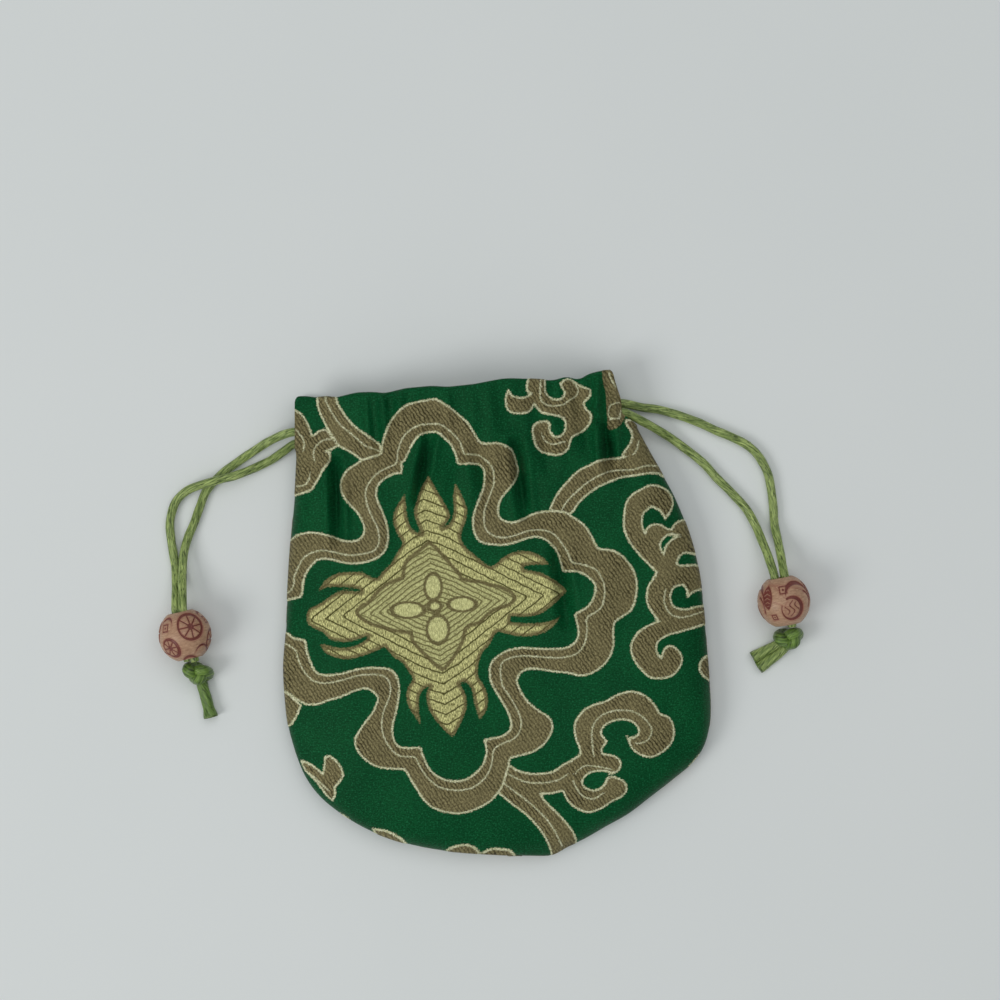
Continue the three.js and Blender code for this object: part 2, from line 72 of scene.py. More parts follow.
# The cloth and the fineness of its meshes
CLOTH = 0.8
RELIEF = 0.14
COLUMNS = 206
PANEL_ROWS = 168
HEM_STEP = 0.56
EDGE_CROWDING = 0.41 * math.pi
FINE_ROWS = 2000
SIDEWAYS_WEIGHT = 0.35

# How the hem's x and height settle above its lower edge, and how the layer behind the tunnel bends
HEM_SETTLES = 4.0
HEM_JOINS = 3.0
LAYER_BEND = 0.7
LAYER_DENT = 0.35
LAYER_LIFT = 0.5

# The cloth's unevenness, which fades towards the seams and the hem's fold
FRONT_RIPPLE = 0.2
BACK_RIPPLE = 0.25
BACK_LIFT = 0.04
STILL_EDGE = 0.9
STILL_ROWS = 12
FOLD_ROWS = 8

# The cords, beads and knots
CORD_DIAMETER = 2.0
CORD_SIDES = 24
CORD_STEP = 0.3
CORD_RIDGES = 9
CORD_RIDGE = 0.06
CORD_TWIST = 0.12
CORD_UNEVENNESS = 0.02
CORD_CLEARANCE = 0.02
LOOP_CLEARANCE = 0.03
LOOP_SETBACK = 2.7
TURN_BULGE = 2.0
TURN_SETBACK = 3.3
TURN_ANGLES = (-60, -25, 25, 60)
BEAD_DIAMETER = 12.1
BEAD_LENGTH = 10.9
BEAD_BORE = 4.9
BEAD_END_DIAMETER = 5.8
BEAD_SIDES = 360
BEAD_RINGS = 112
HOLE_RINGS = 14
FACE_RINGS = 6
BEAD_LIP = 0.15
BEAD_END_ROUND = 0.6
BEAD_CLEARANCE = 0.02
FACE_CLEARANCE = 0.01
UNCARVED = 9.0
KNOT_SIZE = (7.4, 5.6, 6.7)
KNOT_THICKNESS = 1.42
KNOT_CLEARANCE = 0.08
KNOT_LOBES = 1.9
KNOT_POINTS = 220
KNOT_TURNS = 3
KNOT_RIDGES = 6
KNOT_RIDGE = 0.05
KNOT_LENGTH = 40.0
TAIL_TWIST = 0.25
TAIL_RIDGES = 6
TAIL_RIDGE = 0.09
FLOOR_CLEARANCE = 0.04

# The melted end of a tail: how far past the cut each ring lies, and its share of the radius
CUP_STEPS = (0.12, 0.02, -0.35, -0.6)
CUP_SHARES = (0.93, 0.75, 0.6, 0.3)

# Rows across the body, from the hem down to the bottom, as in the part's source
ROW_COLUMNS = ("left", "left_up", "right", "right_up", "swell", "square", "loft", "mouth")
ROWS = (
    (-0.938, 0.820, 0.656, 0.879, 1.00, 9.0, 1.00, 1.0),
    (-0.942, 0.785, 0.712, 0.834, 1.00, 6.0, 1.00, 0.7),
    (-0.949, 0.733, 0.773, 0.787, 1.00, 4.4, 1.00, 0.3),
    (-0.961, 0.675, 0.838, 0.733, 1.00, 3.4, 1.00, 0.1),
    (-0.973, 0.609, 0.904, 0.659, 1.00, 3.0, 1.00, 0.0),
    (-0.982, 0.537, 0.948, 0.580, 1.00, 2.8, 1.00, 0.0),
    (-0.989, 0.459, 0.972, 0.486, 1.00, 2.8, 1.00, 0.0),
    (-1.000, 0.391, 0.988, 0.395, 1.00, 2.8, 1.00, 0.0),
    (-0.992, 0.321, 1.000, 0.312, 1.00, 2.8, 0.99, 0.0),
    (-0.978, 0.269, 0.993, 0.263, 1.00, 2.8, 0.98, 0.0),
    (-0.956, 0.230, 0.967, 0.224, 1.00, 2.8, 0.97, 0.0),
    (-0.928, 0.193, 0.918, 0.193, 0.98, 2.8, 0.96, 0.0),
    (-0.891, 0.158, 0.829, 0.160, 0.94, 2.8, 0.95, 0.0),
    (-0.830, 0.123, 0.716, 0.121, 0.84, 2.8, 0.94, 0.0),
    (-0.746, 0.092, 0.618, 0.088, 0.68, 2.8, 0.93, 0.0),
    (-0.642, 0.063, 0.510, 0.061, 0.50, 2.8, 0.92, 0.0),
    (-0.521, 0.039, 0.412, 0.036, 0.32, 2.8, 0.91, 0.0),
    (-0.385, 0.022, 0.332, 0.020, 0.18, 2.8, 0.90, 0.0),
    (-0.197, 0.009, 0.281, 0.007, 0.07, 2.8, 0.90, 0.0),
    (0.107, 0.001, 0.239, 0.000, 0.00, 2.8, 0.90, 0.0),
)

# The gathers' main folds, as in the part's source
FOLD_COLUMNS = ("across", "width", "depth", "high", "peak", "low")
FOLDS = (
    (-0.77, 0.055, 0.12, 0.96, 0.74, 0.52),
    (-0.47, 0.050, 0.07, 1.10, 0.86, 0.66),
    (-0.28, 0.060, 0.11, 1.00, 0.78, 0.58),
    (0.02, 0.050, 0.06, 1.10, 0.88, 0.70),
    (0.27, 0.060, 0.12, 1.00, 0.77, 0.55),
    (0.34, 0.055, 0.09, 0.68, 0.52, 0.36),
    (0.80, 0.060, 0.16, 1.00, 0.86, 0.70),
)

# How far the scalloped top edge drops, as a share of the hem's height, at shares of the way across
SCALLOP_ACROSS = (
    0.00, 0.03, 0.07, 0.10, 0.12, 0.14, 0.19, 0.24, 0.28, 0.34, 0.42, 0.47, 0.55, 0.63, 0.66, 0.71, 0.79,
    0.83, 0.87, 0.90, 0.94, 1.00,
)
SCALLOP_DROP = (
    0.00, 0.00, 0.05, 0.04, 0.08, 0.06, 0.02, 0.04, 0.08, 0.03, 0.03, 0.07, 0.06, 0.01, 0.01, 0.04, 0.10,
    0.05, 0.12, 0.03, 0.00, 0.01,
)

SCALLOP_BLUR = 0.006

# Small creases in the front cloth, in photo pixels: both ends of each valley, its width, and its depth in mm
CREASE_COLUMNS = ("x0", "y0", "x1", "y1", "width", "depth")
CREASES = (
    (335, 462, 337, 540, 4.5, 3.2),
    (374, 398, 379, 456, 4.0, 2.6),
    (391, 382, 392, 420, 4.0, 1.2),
    (412, 384, 410, 415, 5.0, 0.9),
    (431, 430, 417, 500, 4.5, 3.4),
    (458, 386, 462, 430, 6.0, 1.2),
    (477, 436, 488, 500, 7.0, 1.6),
    (515, 444, 525, 516, 5.0, 3.2),
    (499, 386, 506, 425, 6.0, 1.1),
    (537, 400, 548, 470, 7.0, 1.7),
    (548, 376, 553, 412, 4.0, 1.5),
    (574, 372, 581, 412, 4.5, 1.4),
    (556, 540, 567, 622, 6.0, 2.4),
    (606, 426, 609, 470, 5.0, 3.6),
    (606, 376, 605, 430, 4.5, 2.0),
    (580, 405, 588, 450, 7.0, 1.3),
    (355, 470, 352, 540, 8.0, 0.9),
    (455, 470, 452, 520, 8.0, 0.8),
    (350, 560, 352, 620, 13.0, 0.8),
    (400, 500, 396, 560, 9.0, 0.7),
    (640, 560, 622, 640, 15.0, 0.9),
    (300, 640, 330, 760, 17.0, 0.8),
    (660, 690, 690, 760, 15.0, 0.8),
)
HEM_CREASE = 0.35
HEM_PUCKER = 1.5

# A valley's form: how deep its ends are, how sharp it is, and its shoulders in widths from the middle
VALLEY_END = 0.35
VALLEY_SHARPNESS = 1.5
SHOULDER = {"height": 0.4, "at": 2.0, "width": 0.9}

# The fold beside the hem's right end, and how much of the corner there is missing
END_RIDGE = {"x": 23.2, "width": 1.5, "height": 1.3}
CORNER_CUT = 1.9
CORNER_START = 5.0
CORNER_ROUND = 0.9
CORNER_REACH = 1.5

# The free strands' routes, as in the part's source
STRANDS = {
    "cord_left_front": (
        (-43.8, 41.6, 7.1), (-46.1, 41.6, 7.0), (-47.9, 41.3, 6.2), (-50.0, 40.6, 5.1), (-52.6, 39.4, 3.5),
        (-56.1, 37.3, 1.7), (-60.0, 34.7, 1.1), (-62.6, 32.8, 1.1), (-64.7, 30.9, 1.1), (-67.1, 28.1, 1.1),
        (-68.6, 24.4, 1.1), (-69.8, 21.0, 1.1), (-71.2, 17.6, 1.3), (-72.1, 14.0, 2.3), (-72.3, 10.4, 3.2),
        (-72.2, 6.8, 4.5), (-72.0, 3.6, 6.0), (-71.8, 0.8, 6.8), (-71.1, -2.0, 6.8), (-70.4, -5.0, 6.8),
        (-69.7, -8.0, 6.8), (-69.0, -10.9, 6.6),
    ),
    "cord_left_back": (
        (-43.8, 39.2, 2.25), (-46.7, 38.9, 2.2), (-49.2, 37.2, 2.0), (-52.0, 35.3, 1.6), (-54.8, 33.9, 1.6),
        (-57.5, 32.7, 2.3), (-60.3, 31.6, 3.2), (-63.1, 30.9, 3.5), (-65.9, 30.1, 3.5), (-68.7, 29.3, 3.3),
        (-71.5, 28.1, 2.3), (-74.0, 25.8, 1.3), (-75.1, 23.0, 1.1), (-75.5, 20.2, 1.1), (-75.2, 16.9, 1.1),
        (-74.7, 13.6, 1.1), (-74.2, 10.6, 1.3), (-73.9, 7.0, 2.5), (-73.7, 3.4, 4.5), (-73.6, 0.4, 5.3),
        (-72.8, -2.4, 5.3), (-72.1, -5.4, 5.3), (-71.4, -8.4, 5.3), (-70.8, -10.9, 5.2),
    ),
    "cord_right_back": (
        (26.0, 48.4, 2.25), (28.7, 48.3, 2.25), (31.0, 47.9, 2.1), (33.8, 47.3, 1.6), (37.2, 46.9, 1.1),
        (40.5, 46.0, 1.1), (43.9, 44.9, 1.1), (47.4, 43.5, 1.1), (50.6, 42.0, 1.1), (54.0, 40.6, 1.1),
        (57.5, 38.8, 1.1), (59.8, 36.8, 1.1), (61.4, 34.4, 1.1), (62.5, 32.0, 1.1), (63.2, 28.6, 1.1),
        (63.7, 24.6, 1.1), (64.0, 20.2, 1.3), (64.7, 16.4, 2.4), (65.2, 12.6, 4.6), (65.7, 8.9, 6.3),
        (66.2, 6.0, 6.5), (66.7, 3.0, 6.5), (67.2, 0.0, 6.5), (67.5, -2.9, 5.9),
    ),
    "cord_right_front": (
        (26.0, 46.2, 7.1), (28.7, 46.1, 7.0), (31.0, 45.2, 6.2), (33.6, 43.9, 5.0), (37.0, 42.1, 3.0),
        (40.5, 40.0, 1.5), (43.9, 37.5, 1.1), (47.4, 34.7, 1.1), (50.6, 31.2, 1.1), (54.0, 27.8, 1.1),
        (57.5, 23.9, 1.2), (59.4, 20.5, 1.6), (60.9, 16.8, 2.7), (62.3, 12.8, 4.4), (63.5, 8.6, 5.5),
        (64.0, 5.6, 5.6), (64.6, 2.6, 5.6), (65.2, -0.4, 5.6), (65.6, -2.7, 5.4),
    ),
}

# Each cord's lanes in the tunnels: heights above the hem's lower edge at its left and right end
LANES = {
    "left": {"front": (5.6, 6.7), "back": (3.1, 3.4)},
    "right": {"front": (2.9, 4.0), "back": (5.8, 6.1)},
}

# What is on each cord
CORD_ENDS = {
    "left": {"bead": (-71.4, -4.9), "bead_turn": 13, "knot": (-68.8, -13.7), "knot_turn": -16},
    "right": {"bead": (65.6, 2.9), "bead_turn": 10, "knot": (67.0, -5.7), "knot_turn": 8},
}
TAILS = {
    "tail_left": {
        "route": ((-68.2, -15.6, 1.7), (-67.8, -17.2, 1.5), (-66.9, -20.4, 1.4), (-66.0, -24.0, 1.4)),
        "diameter": 2.55,
        "flare": 1.28,
        "flare_from": 0.7,
    },
    "tail_right_a": {
        "route": ((65.6, -6.5, 2.4), (64.0, -7.5, 1.9), (61.8, -8.8, 1.3), (59.0, -10.3, 1.1)),
        "diameter": 2.1,
        "flare": 1.3,
        "flare_from": 0.2,
    },
    "tail_right_b": {
        "route": ((66.6, -7.6, 2.0), (65.5, -8.9, 1.6), (62.9, -10.9, 1.1), (60.4, -12.7, 1.1)),
        "diameter": 2.1,
        "flare": 1.3,
        "flare_from": 0.2,
    },
}

# The ornament, charted in photo pixels. The cloud-shaped frame round the medallion is a taupe band
# with cream edges and a cream line along it.
FRAME_OUTER = (
    (262, 650), (262, 580), (270, 545), (289.7, 540.6), (295.5, 536.2), (304.3, 533.3), (313.1, 532.6),
    (321.9, 534), (330.7, 536.2), (339.5, 539.9), (348.3, 541.4), (357.1, 540.6), (363, 535.5),
    (364.8, 528.2), (361.5, 519.4), (357.1, 512), (351.3, 506.2), (345.4, 498.8), (341.7, 491.5),
    (341, 484.2), (343.2, 476.8),
    (348.3, 469.5), (357.1, 463.6), (363, 460), (372, 457), (381, 454), (382.5, 446), (383.5, 440),
    (386.5, 431.3), (390.9, 421.1), (398.2, 412.3), (405.6, 405.7), (414.4, 402.7), (424.6, 400.8),
    (434.2, 399), (442.2, 402.7), (451, 408.6), (459.8, 415.9), (467.2, 422.5), (473, 431.3), (478.2, 440.1),
    (484.8, 443.8), (495, 443), (501.7, 444.1), (507.6, 447), (512, 450.7), (515.7, 460.9), (517.9, 471.2),
    (514.2, 481.5), (507.6, 490.3), (501.7, 497.6), (498.8, 505), (498.1, 513.8), (501.7, 519.6),
    (512, 522.6), (522.3, 519.6), (534, 513.8), (544.3, 511.6), (554.5, 511.1), (564.8, 512.3),
    (572.1, 516.7), (581, 522.6), (586.8, 528.4), (592.7, 538.7), (597.1, 547.5), (601.5, 549.3),
    (611.8, 550.4), (620.6, 554.8), (627.9, 562.2), (633.8, 571), (637, 583), (636, 597), (631, 610.4),
    (620.4, 617.5), (614.1, 622.9), (613.2, 633.6), (613.2, 646.1), (609.6, 656.8), (602.5, 665.7),
    (591.8, 672.9), (581.1, 675.5), (568.6, 672.9), (552.5, 671.1), (532.9, 668.4), (522.1, 671.1),
    (516.8, 680), (520.4, 690.7), (527.5, 701.4), (538.2, 710.4), (548.9, 717.5), (552.5, 726.4),
    (549.8, 735.4), (543.6, 744.3), (532.9, 751.4), (520.4, 755), (509.6, 757.7), (508.5, 765.7), (506, 774),
    (502.5, 785.4), (497.5, 793), (490.2, 801), (478.2, 807.8), (466.1, 812.1), (454.1, 813), (440.3, 810.4),
    (430, 805.3), (423.1, 798.4), (416.2, 788), (411, 779.4), (405.9, 770.8), (402.4, 769.1),
    (385.2, 768.2), (373.2, 764.8), (362.8, 757), (356.8, 748.4), (355.1, 739.8), (359.4, 731.2),
    (366.3, 720.9), (373.2, 712.3), (376.6, 703.7), (378.3, 698.5), (373.2, 691.6), (364.5, 688.2),
    (352.5, 691.6), (340.4, 696.8), (328.4, 700.2), (316.3, 704.5), (304.3, 703.7), (293.9, 696.8),
    (285.3, 691.6), (270, 686),
)
FRAME_MIDDLE = (
    (262, 620), (270, 594), (288.2, 592.7), (294.1, 585.4), (294.8, 576.6), (299.2, 566.3), (304.3, 557.5),
    (313.1, 552.4), (323.4, 550.2), (336.6, 552.4), (349.8, 555.3), (363, 553.8), (374.7, 550.2),
    (379.2, 541.4), (377.7, 528.2), (373.3, 519.4), (368.9, 509.1), (366, 498.8), (366, 490), (370.4, 481.2),
    (377.7, 473.1), (386.5, 468), (395.3, 464.3), (397.5, 459.2), (398.2, 450.4), (402.6, 438.7),
    (408.5, 431.3), (417.3, 426.2), (427.6, 424), (437.8, 424), (446.6, 428.4), (454, 435), (459.8, 441.6),
    (462.8, 450.4), (464.2, 454.1), (477.4, 454.8), (486.2, 460), (492.8, 468), (494.3, 478.3),
    (493.6, 485.6), (489.2, 497.4), (484.8, 509.1), (484, 520.8), (486.2, 529.6), (493.6, 535.5),
    (505, 537.7), (517.9, 534.3), (528.1, 530.6), (538.4, 529.9), (548.7, 531.4), (556, 535.8),
    (563.3, 544.6), (569.2, 554.8), (572.1, 562.2), (585.4, 565.1), (595.6, 569.5), (599.3, 573.9),
    (603, 581.2), (604.6, 590), (604.3, 596.1), (601.6, 606.8), (595.4, 612.1), (586.4, 618.4),
    (587.3, 628.2), (585.5, 640.7), (581.1, 649.6), (573.9, 655), (559.6, 657.7), (540, 656.8),
    (520.4, 655.9), (506.1, 659.5), (500.7, 665.7), (500.7, 676.4), (503.4, 687.1), (509.6, 696.1),
    (516.8, 708.6), (521.3, 721.1), (519.5, 731.8), (513.2, 738.9), (500.7, 744.3), (493.7, 750.1),
    (492, 762.2), (488.5, 772.5), (481.6, 781.1), (471.3, 788), (457.5, 790.1), (442, 788), (433.4, 782.9),
    (424.8, 774.3), (417.9, 762.2), (414.5, 757), (400.7, 756.2), (392.1, 750.1), (385.2, 739.8),
    (381.8, 727.8), (382.6, 715.7), (385.2, 707.1), (389.5, 696.8), (390.4, 684.7), (385.2, 677),
    (374.9, 674.4), (359.4, 675.2), (343.9, 679.5), (328.4, 683), (316.3, 682.1), (309.4, 677.8),
    (302.6, 669.2), (298.2, 658.9), (295.7, 650.3), (285.3, 643.4), (270, 638),
)
FRAME_INNER = (
    (262, 616), (270, 603), (287.5, 600), (301.4, 596.4), (302.4, 591), (304.3, 578), (308.7, 569.2),
    (317.5, 559.7), (329.3, 559), (341, 561.9), (352.7, 563.4), (366, 561.9), (377.7, 557.5), (385, 550.2),
    (388, 538.4), (387.2, 526.7), (383.6, 515), (379.2, 504.7), (376.2, 495.9), (377.7, 485.6), (385, 478.3),
    (393.8, 473.9), (401.2, 473.1), (402, 468), (400.4, 462.5), (404.1, 460.7), (409.2, 450.4), (412.9, 443),
    (420.2, 435), (429, 432), (437.8, 432.5), (445.2, 438.7), (451, 444.5), (455.4, 453.3), (457.6, 462.1),
    (459.8, 463.9), (476, 463.6), (483.3, 468), (484.8, 476.8), (483.3, 488.5), (480.4, 495.9), (476, 507.6),
    (473, 519.4), (474.5, 532.6), (480.4, 541.4), (492.1, 544.3), (504.7, 544.6), (514.9, 542.4),
    (525.2, 538.7), (535.5, 536.5), (544.3, 538.7), (551.6, 544.6), (557.5, 551.9), (561.1, 562.2),
    (563.3, 571), (575.1, 571), (583.9, 573.9), (589.8, 578.3), (594.2, 582.7), (595.6, 590), (592.7, 599.6),
    (586.4, 607.7), (574.8, 613.9), (578.4, 628.2), (577.5, 638.9), (570.4, 646.1), (559.6, 648.8),
    (540, 648.8), (522.1, 647.9), (507.9, 650.5), (497.1, 656.8), (490.9, 663.9), (490, 676.4),
    (492.7, 685.4), (498.9, 696.1), (504.3, 705), (509.6, 715.7), (511.4, 726.4), (507, 733.6),
    (498.9, 737.1), (484.2, 739.8), (486.8, 750.1), (484.2, 762.2), (478.2, 770.8), (467.9, 778.6),
    (457.5, 781.1), (447.2, 780.3), (436.9, 776), (428.3, 767.4), (422.2, 753.6), (420.5, 747.6),
    (409.3, 748.1), (399, 746.7), (393.8, 739.8), (392.1, 727.8), (395.5, 714), (398.1, 700.2), (399, 686.4),
    (395.5, 674.4), (388.7, 669.2), (374.9, 667.8), (357.7, 669.2), (342.2, 673.5), (326.7, 675.2),
    (316.3, 672.7), (311.2, 664), (306.9, 652), (305.1, 641.7), (302.6, 639.9), (293.9, 638.2),
    (285.3, 632.2), (270, 630),
)

# The taupe scrolls, stems and leaves round the frame
SCROLLS = {
    "stem_top_left": (
        (317.5, 386), (317.5, 400.5), (318.3, 407.9), (321.9, 416.7), (327.8, 428.4), (333.7, 437.9),
        (339.5, 446), (348.3, 450.4), (357.1, 456.3), (363, 460), (372, 457), (381, 454), (380.6, 446),
        (377.7, 443), (368.9, 436.5), (357.1, 428.4), (348.3, 419.6), (341, 409.3), (336.6, 400.5),
        (334, 386),
    ),
    "scroll_left": (
        (285, 405), (297, 411.5), (302, 415), (306.5, 421.8), (309.5, 428.4), (312, 436), (314.6, 435),
        (319, 431.3), (326.3, 429.9), (331, 436), (338.8, 444.5), (333.7, 448.2), (325.6, 451.1),
        (329.3, 453.3), (330, 459.2), (325.6, 466.5), (322.7, 470.2), (319, 477.5), (314.6, 484.9),
        (311, 490), (302.9, 493), (295.5, 495.2), (285, 497),
    ),
    "scroll_top_right": (
        (508.6, 390.1), (512, 395.7), (519.3, 397.9), (525.9, 397.1), (531.8, 393.5), (526.7, 390.5),
        (527.4, 383.2), (530.3, 372), (545, 372), (545, 380.3), (544.6, 387.6), (546.5, 394.2),
        (553.1, 399.3),
        (561.9, 398.6), (564.8, 392), (561.9, 387.6), (560.4, 383.2), (566.3, 379.5), (572.1, 380.6),
        (578, 384.7), (583.9, 387.6), (589.8, 389.8), (589.8, 396.4), (583.9, 402.3), (585.4, 408.1),
        (590.5, 414), (590.5, 421.3), (585.4, 428.7), (578, 433.8), (572.1, 436.7), (569.9, 441.9),
        (567.7, 449.2), (560.4, 454.3), (551.6, 454.3), (541.3, 451.4), (535.5, 444.8), (533.3, 436),
        (532.5, 428.7), (536.9, 422.8), (545.7, 421.3), (550.1, 423.5), (549.4, 430.1), (554.5, 436.7),
        (561.9, 435.3), (565.5, 428.7), (564.8, 419.9), (558.9, 416.2), (548.7, 414), (541.3, 411.8),
        (536.9, 406.7), (534, 403), (529.6, 411.1), (520.8, 413.6), (510.5, 411.8), (506.1, 405.2),
        (506.1, 396.4),
    ),
    "arc_right": (
        (550.1, 509.4), (553.1, 502), (558.9, 491.8), (567.7, 481.5), (578, 471.2), (589.8, 465.4),
        (598.6, 460.9), (611.8, 458.7), (622, 458), (633.8, 452.9), (648, 450), (665, 448), (672, 480),
        (663.1, 476.3), (657.2, 473.4), (647, 473.4), (633.8, 475.6), (622, 477.1), (611.8, 480.8),
        (600, 485.9), (586.8, 494.7), (578, 503.5), (572.1, 512.3), (564, 514),
    ),
    "leaf_right": (
        (626.4, 420), (626.4, 425), (630.8, 430.1), (632.3, 437.5), (629.4, 444.8), (625, 450.7),
        (620.6, 457.3), (648, 452), (665, 448), (650, 425),
    ),
    "scroll_right": (
        (665.3, 518.9), (670.4, 510.8), (672.6, 503.5), (670.4, 494.7), (663.1, 488.1), (651.4, 485.2),
        (641.1, 489.6), (630.8, 496.2), (625.7, 505), (624.2, 516.7), (624.2, 528.4), (627.9, 538.7),
        (633.8, 547.5), (642.6, 557.8), (651.4, 566.6), (657.2, 572.4), (652.8, 579.8), (648.4, 587.1),
        (647.1, 601.4), (653.4, 613.9), (659.6, 621.1), (650.7, 624.6), (640, 630.9), (632.9, 640.7),
        (631.1, 649.6), (634.6, 660.4), (641.8, 670.2), (650.7, 677.3), (661.4, 678.2), (672.1, 675.5),
        (679.3, 667.5), (682, 658.6), (677.5, 649.6), (669.5, 646.1), (664.1, 649.6), (661.4, 658.6),
        (657, 653.2), (657, 642.5), (666.8, 635.4), (679.3, 631.8), (691.8, 628.2), (703.4, 624.6),
        (720, 622), (720, 515), (690, 519), (682.2, 520.4), (674.8, 524), (671.9, 529.9), (666, 528.4),
        (660.2, 524.8), (652.8, 524.8), (647, 528.4), (645.5, 534.3), (642.6, 528.4), (641.8, 519.6),
        (644, 512.3), (651.4, 506.4), (660.2, 510.8),
    ),
    "leaf_far_right": (
        (707, 655.9), (700.7, 662.1), (699.8, 671.1), (708.8, 680), (720, 680), (720, 655),
    ),
    "scroll_bottom_right": (
        (494, 764), (509.6, 765.7), (516.8, 770.2), (531.1, 773.8), (548.9, 772.9), (556.1, 770.2),
        (563.2, 764.8), (572.1, 760.4), (581.1, 754.1), (579.3, 746.1), (575.7, 737.1), (574.8, 724.6),
        (579.3, 715.7), (586.4, 708.6), (597.1, 704.1), (606.1, 701.4), (616.8, 695.2), (629.3, 691.6),
        (640, 693.4), (648.9, 698.8), (656.1, 707.7), (659.6, 713.9), (668.6, 717.5), (673, 724.6),
        (673.9, 735.4), (670.4, 744.3), (661.4, 752.3), (650.7, 756.8), (640, 754.1), (632, 747.9),
        (629.3, 740.7), (626.6, 735.4), (631.1, 738), (637.3, 735.4), (639.1, 730), (634.6, 722.9),
        (625.7, 719.3), (615, 720.2), (604.3, 725.5), (600.7, 733.6), (607, 741.6), (601.6, 748.8),
        (602.5, 754.1), (613.2, 755.9), (619.5, 760.4), (620.4, 767.5), (614.1, 772.9), (606.1, 771.1),
        (595.4, 771.1), (586.4, 774.6), (582, 781.8), (585.5, 788), (595.4, 790.7), (604.3, 785.4),
        (607.9, 776.4), (615, 777.3), (623.9, 781.8), (626.6, 788.9), (622.1, 796.1), (611.4, 801.4),
        (600.7, 808.6), (588.2, 812.1), (577.5, 808.6), (568.6, 801.4), (563.2, 790.7), (557.9, 791.6),
        (548.9, 793.4), (540, 792.5), (543.6, 799.6), (552.5, 808.6), (561.4, 817.5), (570.4, 828.2),
        (575.7, 838.9), (578, 860), (552, 860), (550.7, 849.6), (545.4, 837.1), (536.4, 824.6),
        (525.7, 813.9), (511.4, 803.2), (498.7, 792.5), (490, 786),
    ),
    "leaf_bottom_left": (
        (301.7, 760.5), (312.9, 765.7), (323.2, 774.3), (324.9, 762.2), (324.9, 757), (330.1, 756.7),
        (337, 762.2), (342.2, 770.8), (342.2, 777.7), (337, 784.6), (334.4, 788), (335.3, 793.2),
        (332.7, 800.1), (326.7, 794.9), (316.3, 781.1), (307.7, 772.5), (303.4, 765.7),
    ),
    "leaf_left": (
        (270, 686), (285.3, 691.6), (293, 698), (300.8, 705.4), (291.4, 724.3), (275, 730),
    ),
    "bottom_bit_a": ((335, 812.6), (343, 815), (350.5, 821.2), (338, 829)),
    "bottom_bit_b": ((373, 829), (385, 830.6), (397, 835.8), (406.5, 843.6), (388, 851)),
    "bottom_bit_c": (
        (446.1, 851.2), (456.5, 846), (467.9, 845.1), (477.5, 850.3), (481.9, 862), (446, 862),
    ),
    "bottom_bit_d": (
        (484, 852), (491, 849), (501.7, 849), (511.6, 851.6), (518.8, 862), (484, 862),
    ),
}

# A taupe patch on the turned end of the hem, which has no cream edge
SIDE_FOLD = (
    (602, 362), (613, 362), (616.2, 384.7), (619.8, 393.5), (626, 399.3), (626, 412.5), (620.8, 424.3),
    (612.3, 429.7), (607.6, 428.7), (606.5, 410), (605.5, 392), (602.5, 380),
)

# Green gaps in the right scroll
SCROLL_GAPS = (
    (
        (660.2, 543.1), (666, 535.8), (673.4, 534.3), (680.7, 535.8), (673.4, 538.7), (666, 546),
        (663.8, 554.8), (660.9, 549),
    ),
    (
        (676.3, 563.6), (679.2, 556.3), (686.6, 552.6), (700, 556), (700, 566), (693.9, 565.1),
        (680.7, 565.8),
    ),
    (
        (670.4, 594.3), (673.9, 587.1), (682.9, 584.5), (687.3, 590.7), (687.3, 597), (695.4, 590.7),
        (712, 588), (712, 604), (697.1, 606.8), (684.6, 609.5), (673.9, 606.8), (670.4, 599.6),
    ),
)

# Cream lines inside the scrolls
SCROLL_LINES = (
    ((325, 386), (325.6, 399.8), (329.3, 407.9), (333.7, 415.2), (339.5, 424), (348.3, 431.3),
     (357.1, 438.7), (366, 446), (379.9, 451.1)),
    ((297, 430.6), (299.9, 435), (302.9, 438.7), (304.3, 445.3), (303.6, 449.7)),
    ((333.7, 438.7), (323.4, 440.1), (317.5, 444.5), (313.9, 449.7), (313.9, 456.3), (314.6, 460.7)),
    ((298.5, 486.4), (306.5, 484.2), (309.5, 478.3), (310.2, 473.9)),
    ((540.6, 381), (540.6, 397.9), (545.7, 404.5), (554.5, 405.9), (563.3, 404.5), (569.2, 400.1),
     (576.5, 394.9), (578, 389.1), (573.6, 383.2)),
    ((542.1, 434.5), (545, 440.4), (553.1, 444.1), (563.3, 441.9)),
    ((608.8, 372.9), (611, 378.8), (614.7, 386.1)),
    ((617.6, 403), (610.3, 405.9), (608.1, 414), (610.3, 419.1), (619.1, 418.4), (620.6, 411.1)),
    ((561.9, 509.4), (567.7, 500.6), (578, 490.3), (591.2, 480), (604.4, 473.4), (617.6, 470.5),
     (632.3, 469.8), (645.5, 466.1), (655.8, 466.1)),
    ((638.2, 441.9), (636.7, 449.2), (633.8, 453.6)),
    ((665, 590.7), (664.1, 603.2), (670.4, 613.9), (682.9, 617.5), (700.7, 612.1)),
    ((509.6, 774.6), (525.7, 781.8), (543.6, 782.7), (557.9, 780), (566.8, 774.6)),
    ((504.3, 783.6), (525.7, 799.6), (543.6, 815.7), (554.3, 830), (561.4, 844.3)),
    ((593.6, 755), (591.8, 737.1), (593.6, 724.6), (602.5, 714.8), (616.8, 710.4), (632.9, 711.3),
     (645.4, 719.3), (651.6, 730), (647.1, 740.7), (636.4, 743.4)),
    ((573.9, 781.8), (575.7, 787.1), (582.9, 796.1), (593.6, 798.8), (604.3, 792.5)),
    ((575.7, 772.9), (584.6, 765.7), (597.1, 766.6), (611.4, 769.3)),
    ((309.4, 772.5), (328.4, 789.8)),
    ((688.2, 767.5), (700.7, 753.2)),
)

